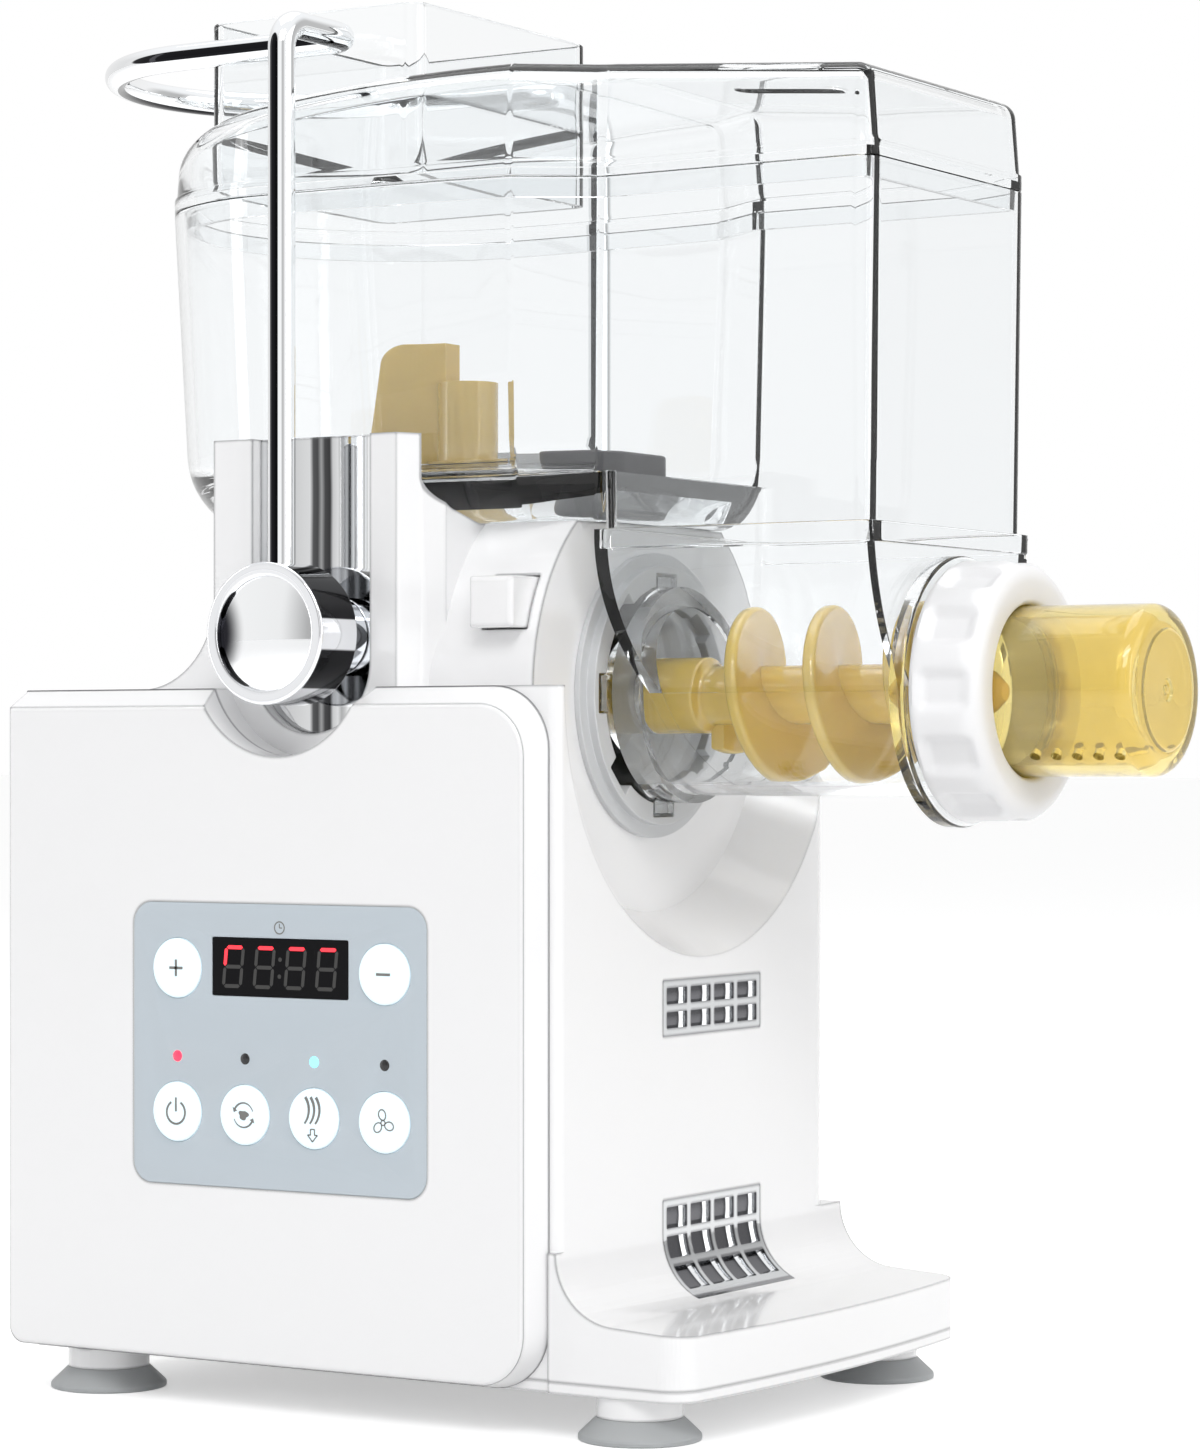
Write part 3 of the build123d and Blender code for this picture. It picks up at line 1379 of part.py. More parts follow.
def make_mains_gland():
    """Cord inlet in the rear wall; no cord is fitted."""
    outer = -column_length
    gland = rod_x(outer - gland_proud, outer, gland_radius, gland_y, gland_z)
    gland = chamfer(gland.edges().group_by(Axis.X)[0], 1.2)
    gland += rod_x(outer, outer + wall, gland_radius - 2, gland_y, gland_z)
    gland += rod_x(outer + wall, outer + wall + 3, gland_radius, gland_y, gland_z)
    return gland - rod_x(outer - gland_proud - 1, outer + wall + 4, gland_bore, gland_y, gland_z)


def make_lock_button():
    """Button through the side of the boss that releases the chamber."""
    button = block(lock_rear_x, lock_front_x, -lock_outer_y, -lock_inner_y, lock_low_z, lock_high_z)
    button = chamfer(button.edges().group_by(Axis.Y)[0], 0.8)
    return button + block(lock_rear_x - lock_flange_reach, lock_front_x,
                          -lock_inner_y, -lock_inner_y + lock_flange,
                          lock_low_z - lock_flange_reach, lock_high_z + lock_flange_reach)


# ================================================================= assembly
def build_parts():
    """All pieces by node name, in the drawing frame."""
    parts = {}
    housing, upper_grille, lower_grille = make_housing()
    parts["housing_shell"] = housing
    parts["upper_vent_grille"] = upper_grille
    parts["lower_vent_grille"] = lower_grille
    parts["base_plate"] = make_base_plate()
    parts["base_screws"] = make_base_screws()
    cup_names = ("front_near", "front_far", "rear_near", "rear_far")
    for name, (x, y) in zip(cup_names, foot_places()):
        parts["suction_cup_" + name] = make_suction_cup(x, y)
    parts["bayonet_collar"] = make_bayonet_collar()
    parts["coupling_plate"] = make_coupling_plate()
    parts["bail_rod"] = make_bail_rod()
    pairs = {
        "bail_knob": make_bail_knob(),
        "knob_cap": make_knob_cap(),
        "pivot_pin": make_pivot_pin(),
        "pivot_collar": make_pivot_collar(),
        "pillar_trim": make_pillar_trim(),
    }
    for name, piece in pairs.items():
        parts[name + "_near"], parts[name + "_far"] = both_sides(piece)
    parts["control_cover"] = make_control_cover()
    parts["control_panel"] = make_control_panel()
    parts["display_window"] = make_display_window()
    parts["display_module"] = make_display_module()
    parts["indicator_lights"] = make_indicator_lights()
    parts["control_board"] = make_control_board()
    for name, (x, z) in button_places().items():
        parts[name] = make_button(x, z)
    parts["hopper"] = make_hopper()
    parts["lid"] = make_lid()
    parts["outlet_threshold"] = make_threshold()
    parts["extrusion_chamber"] = make_chamber()
    parts["extrusion_die"] = make_die()
    parts["ring_nut"] = make_ring_nut()
    parts["auger"] = make_auger()
    parts["drive_gear"] = make_drive_gear()
    parts["drive_spindle"] = make_drive_spindle()
    parts["motor_pinion"] = make_motor_pinion()
    parts["extrude_motor"] = make_extrude_motor()
    parts["drive_frame"] = make_drive_frame()
    parts["spindle_bearing"] = make_spindle_bearing()
    parts["knead_gearmotor"] = make_knead_gearmotor()
    parts["knead_shaft"] = make_knead_shaft()
    parts["shaft_seal"] = make_shaft_seal()
    parts["kneading_paddle"] = make_paddle()
    parts["fan_frame"] = make_fan_frame()
    parts["fan_rotor"] = make_fan_rotor()
    parts["power_board"] = make_power_board()
    parts["mains_gland"] = make_mains_gland()
    parts["lock_button"] = make_lock_button()
    return parts


if __name__ == "__main__":
    os.makedirs("parts", exist_ok=True)
    for node, shape in build_parts().items():
        export_step(Pos(shift_x, 0, 0) * shape, "parts/" + node + ".step")
    print("origin shift", round(shift_x, 3))
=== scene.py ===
"""Looks of the electric pasta maker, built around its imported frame.

Shapes are drawn in millimetres in the maker's drawing frame: X forwards along the extrusion
axis from the front face of the column, Y towards the far side, Z up from the worktop. The
function ``to_frame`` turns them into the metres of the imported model.
"""

import logging
import math
from dataclasses import dataclass, field
from enum import Enum
from typing import Callable, Iterable, Sequence

import bmesh
import bpy
import numpy as np
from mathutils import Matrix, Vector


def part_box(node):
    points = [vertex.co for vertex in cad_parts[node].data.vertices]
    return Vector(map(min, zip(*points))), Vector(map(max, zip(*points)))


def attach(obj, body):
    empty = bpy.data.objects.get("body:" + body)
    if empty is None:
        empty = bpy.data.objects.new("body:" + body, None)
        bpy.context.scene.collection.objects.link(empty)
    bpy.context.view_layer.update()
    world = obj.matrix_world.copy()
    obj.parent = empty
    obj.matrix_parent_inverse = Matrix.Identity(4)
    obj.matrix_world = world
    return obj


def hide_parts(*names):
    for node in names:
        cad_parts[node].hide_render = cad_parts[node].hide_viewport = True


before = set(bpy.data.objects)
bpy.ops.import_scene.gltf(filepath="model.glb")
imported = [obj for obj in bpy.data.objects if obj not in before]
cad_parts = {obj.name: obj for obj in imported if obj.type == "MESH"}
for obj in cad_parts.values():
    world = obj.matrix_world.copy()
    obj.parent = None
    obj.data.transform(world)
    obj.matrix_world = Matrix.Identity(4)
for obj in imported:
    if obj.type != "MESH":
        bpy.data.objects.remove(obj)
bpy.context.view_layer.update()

LOG = logging.getLogger("pasta_maker")
MM = 0.001
AXIS_Z = 161.7               # height of the extrusion axis
DIE_FRONT_X = 115.4          # tip of the die, ahead of the column face
DATUM_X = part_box("extrusion_die")[1][0] / MM - DIE_FRONT_X
BAIL_X = -70.2               # axis of the knobs and of the bail
BAIL_Z = 174.9
KNEAD_X = -65.0              # axis of the kneading shaft
COVER_Y = -70.0              # face of the control cover
AXIS_HOLE = 0.01             # radius at which turned bodies end on their axis
CRISP_ANGLE = 38.0           # edges sharper than this stay crisp, in degrees
Array = np.ndarray


# ============================================================ geometry
class Facing(Enum):
    """Plane in which an outline is drawn, and the axis along which it is carried."""

    PLAN = "drawn in X, Y and carried along Z"
    SIDE = "drawn in X, Z and carried along Y"
    FRONT = "drawn in Y, Z and carried along X"


class Side(Enum):
    """Side of the machine, by the sign of its Y."""

    NEAR = -1
    FAR = 1


class Cap(Enum):
    """How the ends of a stack of rings are closed."""

    ENDS = "a face on either end"
    LOOP = "the last ring joins the first"


class Boolean(Enum):
    """How a body is combined with others."""

    CUT = "DIFFERENCE"
    JOINED = "UNION"
    SHARED = "INTERSECT"


def to_frame(points: Array) -> Array:
    """Drawing millimetres to frame metres: scaled, and moved along X by the datum."""
    return (np.asarray(points, dtype=float) + (DATUM_X, 0.0, 0.0)) * MM


def rounded(corners: Sequence[tuple[float, float, float]], steps: int = 6) -> Array:
    """Closed outline with round corners.

    Each corner is replaced by the arc of its radius that touches both its sides; the arc is
    the spherical blend of the two radii that end on the sides.

    Args:
        corners: (x, y, radius) of each corner, in order.
        steps: Parts of each arc.

    Returns:
        Points of shape (corners * (steps + 1), 2).
    """
    data = np.asarray(corners, dtype=float)
    point, radius = data[:, :2], np.maximum(data[:, 2:3], 0.02)
    back = np.roll(point, 1, 0) - point
    ahead = np.roll(point, -1, 0) - point
    back /= np.linalg.norm(back, axis=1, keepdims=True)
    ahead /= np.linalg.norm(ahead, axis=1, keepdims=True)
    half = np.arccos(np.clip((back * ahead).sum(1, keepdims=True), -1, 1)) / 2
    half = np.clip(half, 1e-4, math.pi / 2 - 1e-4)
    reach = radius / np.tan(half)
    bisector = back + ahead
    bisector /= np.maximum(np.linalg.norm(bisector, axis=1, keepdims=True), 1e-9)
    centre = point + bisector * radius / np.sin(half)
    first, last = point + back * reach - centre, point + ahead * reach - centre
    turn = (math.pi - 2 * half)[:, None]
    part = np.linspace(0, 1, steps + 1)[None, :, None]
    arc = (np.sin((1 - part) * turn) * first[:, None] + np.sin(part * turn) * last[:, None])
    return (centre[:, None] + arc / np.sin(turn)).reshape(-1, 2)


def drawn_in(outline: Array, inset: float) -> Array:
    """Outline moved inwards: each point goes along the mitre of its two sides.

    Args:
        outline: Closed outline.
        inset: Distance inwards.

    Returns:
        The outline, drawn in.
    """
    side = np.roll(outline, -1, 0) - outline
    length = np.linalg.norm(side, axis=1, keepdims=True)
    side = side / np.maximum(length, 1e-9)
    short = length[:, 0] < 1e-7
    side[short] = np.roll(side, 1, 0)[short]
    normal = np.stack([-side[:, 1], side[:, 0]], 1)
    area = np.sum(outline[:, 0] * np.roll(outline[:, 1], -1) - np.roll(outline[:, 0], -1) * outline[:, 1])
    normal *= math.copysign(1.0, area)
    before = np.roll(normal, 1, 0)
    mitre = (normal + before) / np.maximum(1 + (normal * before).sum(1, keepdims=True), 0.35)
    return outline + mitre * inset


def box_outline(x: float, z: float, width: float, height: float, corner: float,
                steps: int) -> Array:
    """Rounded rectangle round a centre.

    Args:
        x: X of the centre.
        z: Z of the centre.
        width: Extent along X.
        height: Extent along Z.
        corner: Radius of the corners.
        steps: Parts of each corner.

    Returns:
        The closed outline.
    """
    half_x, half_z = width / 2, height / 2
    return rounded([(x + half_x, z + half_z, corner), (x - half_x, z + half_z, corner),
                    (x - half_x, z - half_z, corner), (x + half_x, z - half_z, corner)], steps)


def plan_box(rear: float, front: float, near: float, far: float, corner: float, steps: int) -> Array:
    """Rounded rectangle between two places along X and two along Y."""
    return rounded([(rear, near, corner), (front, near, corner), (front, far, corner), (rear, far, corner)], steps)


def circle_outline(x: float, z: float, radius: float, steps: int) -> Array:
    """Circle round a centre."""
    turn = np.linspace(0, 2 * math.pi, steps, endpoint=False)
    return np.stack([x + radius * np.cos(turn), z + radius * np.sin(turn)], 1)


def arc_points(x: float, z: float, radius: float, start: float, end: float, steps: int) -> Array:
    """Points of an arc, its angles in degrees."""
    turn = np.radians(np.linspace(start, end, steps))
    return np.stack([x + radius * np.cos(turn), z + radius * np.sin(turn)], 1)


def arc_through(start: Sequence[float], middle: Sequence[float], end: Sequence[float],
                steps: int) -> Array:
    """Points of the circle arc from start through middle to end, in the plane.

    Args:
        start: First point.
        middle: A point between the ends.
        end: Last point.
        steps: Parts of the arc.

    Returns:
        Points of shape (steps + 1, 2).
    """
    a, b, c = (np.array(p, dtype=float) for p in (start, middle, end))
    rows = 2 * np.array([b - a, c - a])
    centre = np.linalg.solve(rows, [b @ b - a @ a, c @ c - a @ a])
    first, mid, last = (math.atan2(*(p - centre)[::-1]) for p in (a, b, c))
    span = (last - first) % (2 * math.pi)
    if (mid - first) % (2 * math.pi) > span:
        span -= 2 * math.pi
    turn = first + np.linspace(0, span, steps + 1)
    return centre + np.linalg.norm(a - centre) * np.stack([np.cos(turn), np.sin(turn)], 1)


def turned_corner(before: Sequence[float], corner: Sequence[float], after: Sequence[float],
                  radius: float, steps: int = 6) -> Array:
    """Arc that rounds one corner of a run of points."""
    row = [(*before, 0.02), (*corner, radius), (*after, 0.02)]
    return rounded(row, steps)[steps + 1:2 * steps + 2]


def quarter(centre: Array, start: Array, end: Array) -> Array:
    """Quarter circle round a centre, between two arms."""
    turn = np.linspace(0, math.pi / 2, 14)[:, None]
    return centre + np.cos(turn) * start + np.sin(turn) * end


def stroke(points: Array, width: float | Array) -> Array:
    """Outline of a ribbon along a run of points; width may change along it.

    Args:
        points: Middle line.
        width: Width, one for all points or one for each.

    Returns:
        The closed outline.
    """
    along = np.gradient(points, axis=0)
    along /= np.linalg.norm(along, axis=1, keepdims=True)
    half = np.reshape(np.broadcast_to(width, len(points)), (-1, 1)) / 2
    side = np.stack([-along[:, 1], along[:, 0]], 1) * half
    return np.concatenate([points + side, (points - side)[::-1]])


def smooth(value: Array) -> Array:
    """Smooth step from 0 to 1: 3 v squared minus 2 v cubed, with v kept between 0 and 1."""
    kept = np.clip(value, 0, 1)
    return kept * kept * (3 - 2 * kept)


def lifted(outline: Array, level: float, facing: Facing) -> Array:
    """Flat outline put in space at a level along its facing's axis.

    Args:
        outline: Points of shape (count, 2).
        level: Place along the axis.
        facing: Plane of the outline.

    Returns:
        Points of shape (count, 3).
    """
    x, y = outline[:, 0], outline[:, 1]
    at = np.full_like(x, level)
    order = {Facing.PLAN: (x, y, at), Facing.SIDE: (x, at, y), Facing.FRONT: (at, x, y)}
    return np.stack(order[facing], 1)


def spun_rings(profile: Sequence[tuple[float, float]], steps: int) -> Array:
    """Rings of a turned body: each (radius, height) becomes a circle of steps points.

    Args:
        profile: (radius, height) of each ring.
        steps: Points of each circle.

    Returns:
        Array of shape (rings, steps, 3).
    """
    data = np.asarray(profile, dtype=float)
    turn = np.linspace(0, 2 * math.pi, steps, endpoint=False)
    ring = np.stack([np.cos(turn), np.sin(turn), np.zeros_like(turn)], 1)
    return ring[None] * np.stack([data[:, 0], data[:, 0], 0 * data[:, 0]], 1)[:, None] + (
        data[:, 1][:, None, None] * np.array((0.0, 0.0, 1.0)))


def along_x(rings: Array) -> Array:
    """Turned body laid along the extrusion axis."""
    return np.stack([rings[..., 2], rings[..., 0], rings[..., 1] + AXIS_Z], -1)


def along_y(rings: Array, x: float, z: float, side: Side = Side.NEAR) -> Array:
    """Turned body laid along Y, mirrored for the side; its heights are distances from Y = 0."""
    return np.stack([rings[..., 0] + x, rings[..., 2] * side.value, rings[..., 1] + z], -1)


def along_z(rings: Array, x: float, y: float) -> Array:
    """Turned body standing at x, y."""
    return rings + np.array((x, y, 0.0))


def quads(rings: int, points: int, loop: bool = False) -> Array:
    """Faces of a grid of rings: each joins a point, its neighbour, and both on the next ring.

    Args:
        rings: Number of rings.
        points: Points of each ring.
        loop: Whether the last ring joins the first.

    Returns:
        Point numbers of shape (faces, 4).
    """
    row = np.arange(rings if loop else rings - 1)[:, None]
    column = np.arange(points)[None, :]
    after_row, after = (row + 1) % rings, (column + 1) % points
    return np.stack([row * points + column, row * points + after,
                     after_row * points + after, after_row * points + column], -1).reshape(-1, 4)


def shaded(name: str, mesh: bpy.types.Mesh, angle: float) -> bpy.types.Object:
    """Object of a mesh, linked to the scene, smooth but for edges sharper than the angle.

    Args:
        name: Name of the object.
        mesh: Its mesh.
        angle: Limit in degrees.

    Returns:
        The new object.
    """
    mesh.shade_smooth()
    mesh.set_sharp_from_angle(angle=math.radians(angle))
    piece = bpy.data.objects.new(name, mesh)
    bpy.context.scene.collection.objects.link(piece)
    return piece


def mesh_object(name: str, points: Array, faces: Iterable[Sequence[int]],
                smooth_angle: float = CRISP_ANGLE) -> bpy.types.Object:
    """Object from points in drawing millimetres.

    Args:
        name: Name of the piece.
        points: (count, 3) array.
        faces: Point numbers of each face.
        smooth_angle: Edges sharper than this, in degrees, stay crisp.

    Returns:
        The new object, linked to the scene, at the origin.
    """
    mesh = bpy.data.meshes.new(name)
    mesh.from_pydata(to_frame(points).tolist(), [], [list(map(int, face)) for face in faces])
    work = bmesh.new()
    work.from_mesh(mesh)
    bmesh.ops.remove_doubles(work, verts=work.verts, dist=2e-6)
    bmesh.ops.dissolve_degenerate(work, edges=work.edges, dist=1e-6)
    bmesh.ops.recalc_face_normals(work, faces=work.faces)
    work.to_mesh(mesh)
    work.free()
    return shaded(name, mesh, smooth_angle)


def skin(name: str, rings: Array, cap: Cap = Cap.ENDS, smooth_angle: float = CRISP_ANGLE) -> bpy.types.Object:
    """Skin over a stack of closed rings.

    Args:
        name: Name of the piece.
        rings: Array of shape (rings, points, 3).
        cap: How its ends are closed.
        smooth_angle: Edges sharper than this, in degrees, stay crisp.

    Returns:
        The new object.
    """
    count, points = rings.shape[:2]
    faces = quads(count, points, cap is Cap.LOOP).tolist()
    if cap is Cap.ENDS:
        faces.append(list(range(points))[::-1])
        faces.append(list(range((count - 1) * points, count * points)))
    return mesh_object(name, rings.reshape(-1, 3), faces, smooth_angle)


def print_on_side(name: str, shapes: Sequence[Array], front: float,
                  thickness: float = 0.05) -> bpy.types.Object:
    """Flat shapes in the side plane as one mesh, proud of the face at front and sunk a little into it.

    Args:
        name: Name of the piece.
        shapes: Closed outlines.
        front: Y of the face that carries them.
        thickness: How far they stand out.

    Returns:
        The new object.
    """
    sunk = 0.02
    points, faces, base = [], [], 0
    for shape in shapes:
        count = len(shape)
        points += [lifted(shape, level, Facing.SIDE) for level in (front + sunk, front - thickness)]
        faces += (quads(2, count) + base).tolist()
        faces += [list(range(base, base + count))[::-1], list(range(base + count, base + 2 * count))]
        base += 2 * count
    return mesh_object(name, np.concatenate(points), faces, 30.0)


def rounding(radius: float) -> Array:
    """(inset, depth) pairs of a quarter-round edge in four parts, from the flat face to the side."""
    turn = np.linspace(0, math.pi / 2, 5)
    return np.stack([radius * (1 - np.sin(turn)), radius * (1 - np.cos(turn))], 1)


def slab(name: str, outline: Array, low: float, high: float, facing: Facing,
         low_edge: float, high_edge: float) -> bpy.types.Object:
    """Slab carried between two levels, whose faces meet its side in quarter-round edges.

    Args:
        name: Name of the piece.
        outline: Closed outline of its side.
        low: Level of its first face.
        high: Level of its second face.
        facing: Plane of the outline.
        low_edge: Radius of the edge at the first face.
        high_edge: Radius of the edge at the second face.

    Returns:
        The new object.
    """
    rings = [lifted(drawn_in(outline, inset), low + depth, facing) for inset, depth in rounding(low_edge)]
    rings += [lifted(drawn_in(outline, inset), high - depth, facing)
              for inset, depth in rounding(high_edge)[::-1]]
    return weighted(skin(name, np.array(rings)))


def stacked(name: str, plans: Sequence[tuple[Array, float]]) -> bpy.types.Object:
    """Closed body through plans at their heights."""
    return skin(name, np.array([lifted(plan, z, Facing.PLAN) for plan, z in plans]))


def round_bar(name: str, start: float, end: float, radius: float, edge: float = 0.0) -> bpy.types.Object:
    """Turned bar along the extrusion axis, with its front edge rounded.

    Args:
        name: Name of the piece.
        start: X of its rear.
        end: X of its front.
        radius: Radius.
        edge: Radius of the front edge.

    Returns:
        The new object.
    """
    turns = np.linspace(0, math.pi / 2, 7) if edge else (0.0,)
    profile = [(radius, start)]
    profile += [(radius - edge * (1 - math.cos(a)), end - edge + edge * math.sin(a)) for a in turns]
    return skin(name, along_x(spun_rings(profile, 96)))


def tube(name: str, path: Array, radius: float) -> bpy.types.Object:
    """Round bar along a run of points, its section carried without twist.

    Args:
        name: Name of the piece.
        path: Points of the middle line.
        radius: Radius.

    Returns:
        The new object.
    """
    along = np.gradient(path, axis=0)
    along /= np.linalg.norm(along, axis=1, keepdims=True)
    side = np.array((1.0, 0.0, 0.0)) - along[0] * along[0][0]
    turn = np.linspace(0, 2 * math.pi, 32, endpoint=False)
    rings = []
    for point, ahead in zip(path, along):
        side = side - ahead * (side @ ahead)
        side /= np.linalg.norm(side)
        up = np.cross(ahead, side)
        rings.append(point + radius * (np.cos(turn)[:, None] * side + np.sin(turn)[:, None] * up))
    return skin(name, np.array(rings))


def weighted(piece: bpy.types.Object) -> bpy.types.Object:
    """Lets the large faces lead the shading, so that flats look flat beside round edges.

    Args:
        piece: The body.

    Returns:
        The same body.
    """
    modifier = piece.modifiers.new("face_led_shading", "WEIGHTED_NORMAL")
    modifier.mode = "FACE_AREA"
    modifier.weight = 50
    modifier.keep_sharp = True
    return piece


def combined(piece: bpy.types.Object, others: Sequence[bpy.types.Object],
             operation: Boolean) -> bpy.types.Object:
    """Joins, cuts or intersects a piece with others, which are used up.

    Args:
        piece: The body that stays.
        others: The bodies that are used up.
        operation: How they are combined.

    Returns:
        The body that stays.
    """
    for other in others:
        modifier = piece.modifiers.new("combine", "BOOLEAN")
        modifier.operation = operation.value
        modifier.solver = "EXACT"
        modifier.object = other
    bpy.context.view_layer.update()
    view = bpy.context.evaluated_depsgraph_get()
    mesh = bpy.data.meshes.new_from_object(piece.evaluated_get(view))
    piece.modifiers.clear()
    piece.data = mesh
    for other in others:
        bpy.data.objects.remove(other)
    return piece


def cut(piece: bpy.types.Object, *cutters: bpy.types.Object) -> bpy.types.Object:
    """Takes the cutters out of a piece."""
    return combined(piece, cutters, Boolean.CUT)


def joined(piece: bpy.types.Object, *others: bpy.types.Object) -> bpy.types.Object:
    """Makes one closed body of a piece and others that overlap it."""
    return combined(piece, others, Boolean.JOINED)


def softened(piece: bpy.types.Object, width: float) -> bpy.types.Object:
    """Finishes a combined body: cleans its mesh, rounds its edges and lets the flats lead.

    Args:
        piece: The body.
        width: Width of the edges in millimetres, 0 for none.

    Returns:
        The same body.
    """
    speck, flat_angle, most_corners, crisp, rounded_from = 4e-6, 0.3, 12, 32.0, 35.0
    work = bmesh.new()
    work.from_mesh(piece.data)
    bmesh.ops.remove_doubles(work, verts=work.verts, dist=speck)
    bmesh.ops.dissolve_degenerate(work, edges=work.edges, dist=speck)
    bmesh.ops.dissolve_limit(work, angle_limit=math.radians(flat_angle), verts=work.verts, edges=work.edges)
    bmesh.ops.triangulate(work, faces=[face for face in work.faces if len(face.verts) > most_corners])
    bmesh.ops.dissolve_degenerate(work, edges=work.edges, dist=speck)
    work.to_mesh(piece.data)
    work.free()
    piece.data.validate()
    piece.data.shade_smooth()
    piece.data.set_sharp_from_angle(angle=math.radians(crisp))
    if width:
        bevelled(piece, width, rounded_from)
    return weighted(piece)


def bevelled(piece: bpy.types.Object, width: float, angle: float) -> bpy.types.Object:
    """Rounds every edge sharper than the angle; width in millimetres.

    Args:
        piece: The body.
        width: Width of the edges.
        angle: Limit in degrees.

    Returns:
        The same body.
    """
    modifier = piece.modifiers.new("round_edges", "BEVEL")
    modifier.width = width * MM
    modifier.segments = 2
    modifier.limit_method = "ANGLE"
    modifier.angle_limit = math.radians(angle)
    modifier.use_clamp_overlap = True
    modifier.miter_outer = "MITER_ARC"
    return piece


# ============================================================ finishes
@dataclass(frozen=True)
class Net:
    """A shader tree with short ways to add nodes to it and to wire them."""

    tree: bpy.types.NodeTree

    @classmethod
    def group(cls, name: str, **inputs: float) -> tuple["Net", bpy.types.NodeOutputs]:
        """Starts a shader group.

        Args:
            name: Name of the group.
            **inputs: Value at rest of each input by its label, with _ for a space.

        Returns:
            The net of the group and the sockets that bring its inputs.
        """
        tree = bpy.data.node_groups.new(name, "ShaderNodeTree")
        for label, value in inputs.items():
            socket = tree.interface.new_socket(label.replace("_", " "), in_out="INPUT", socket_type="NodeSocketFloat")
            socket.default_value = value
        return cls(tree), tree.nodes.new("NodeGroupInput").outputs

    def close(self, **outputs: bpy.types.NodeSocket) -> bpy.types.NodeTree:
        """Gives the group its outputs.

        Args:
            **outputs: Socket of each output by its label.

        Returns:
            The tree of the group.
        """
        for label in outputs:
            self.tree.interface.new_socket(label, in_out="OUTPUT", socket_type="NodeSocketFloat")
        end = self.tree.nodes.new("NodeGroupOutput")
        self.fill(end, **outputs)
        return self.tree

    def put(self, value: object, socket: bpy.types.NodeSocket) -> None:
        """Links a socket to the one given, or sets its value.

        Args:
            value: Socket or value.
            socket: The input.
        """
        if isinstance(value, bpy.types.NodeSocket):
            self.tree.links.new(value, socket)
        else:
            socket.default_value = value

    def fill(self, node: bpy.types.Node, **values: object) -> None:
        """Puts values or sockets into the inputs of a node by name, with _ for a space."""
        for key, value in values.items():
            self.put(value, node.inputs[key.replace("_", " ")])

    def add(self, kind: str, **values: object) -> bpy.types.Node:
        """New node of a kind, with its inputs filled.

        Args:
            kind: Kind, without its prefix.
            **values: Sockets or values of its inputs.

        Returns:
            The new node.
        """
        node = self.tree.nodes.new("ShaderNode" + kind)
        self.fill(node, **values)
        return node

    def math(self, operation: str, *values: object) -> bpy.types.NodeSocket:
        """Result of a math operation on values or sockets.

        Args:
            operation: The operation.
            *values: Sockets or values.

        Returns:
            The socket of the result.
        """
        node = self.add("Math")
        node.operation = operation
        for value, socket in zip(values, node.inputs):
            self.put(value, socket)
        return node.outputs[0]

    def effect(self, pattern: "Pattern", **values: float) -> bpy.types.NodeOutputs:
        """Outputs of a shared group, with its inputs set.

        Args:
            pattern: The pattern.
            **values: Values of its inputs.

        Returns:
            Its output sockets.
        """
        node = self.add("Group")
        node.node_tree = Groups.get(pattern)
        self.fill(node, **values)
        return node.outputs

    def spread(self, value: bpy.types.NodeSocket, interpolation: str = "LINEAR",
               **limits: float) -> bpy.types.NodeSocket:
        """A value carried from one range to another.

        Args:
            value: Socket of the value.
            interpolation: Way between the limits.
            **limits: Limits of both ranges.

        Returns:
            The socket of the result.
        """
        node = self.add("MapRange", **limits)
        node.interpolation_type = interpolation
        self.put(value, node.inputs["Value"])
        return node.outputs["Result"]

    def ramp(self, stops: Sequence[tuple[float, float]], factor: bpy.types.NodeSocket) -> bpy.types.NodeSocket:
        """Grey ramp through (position, value) stops, driven by a factor.

        Args:
            stops: Position and grey value of each stop.
            factor: Socket with the place on the ramp.

        Returns:
            The socket of its colour.
        """
        ramp = self.add("ValToRGB", Fac=factor)
        elements = ramp.color_ramp.elements
        for element, (position, value) in ((elements[0], stops[0]), (elements[1], stops[-1])):
            element.position, element.color = position, (value, value, value, 1.0)
        for position, value in stops[1:-1]:
            elements.new(position).color = (value, value, value, 1.0)
        return ramp.outputs["Color"]

    def blend(self, first: bpy.types.NodeSocket | tuple[float, ...], second: tuple[float, float, float],
              factor: bpy.types.NodeSocket) -> bpy.types.NodeSocket:
        """Mix of two colours.

        Args:
            first: Colour at a factor of 0, fixed or from a socket.
            second: Colour at a factor of 1.
            factor: Socket that drives the mix.

        Returns:
            The socket of the mixed colour.
        """
        mix = self.tree.nodes.new("ShaderNodeMix")
        mix.data_type = "RGBA"
        self.fill(mix, A=(*first, 1.0) if isinstance(first, tuple) else first, B=(*second, 1.0), Factor=factor)
        return mix.outputs["Result"]


class Pattern(Enum):
    """What varies the colour, gloss and relief of a surface."""

    GRAIN = "moulded_grain"
    POLISH = "polish_marks"
    # painted dark reflection on polished metal, set by the normal
    FACINGS = "dark_facings"
    # painted reflection bands over X on the pillar trims
    BANDS = "standing_bands"
    # painted shade along convex edges
    EDGES = "edge_shade"
    DUST = "rest_dust"


def facings(first: tuple[float, ...], second: tuple[float, ...]) -> dict[str, float]:
    """Inputs of the painted dark reflection by label, from the (X, Y, Z, limit) of either way."""
    return {f"{which} {part}": value for which, values in (("First", first), ("Second", second))
            for part, value in zip(("X", "Y", "Z", "Limit"), values)}


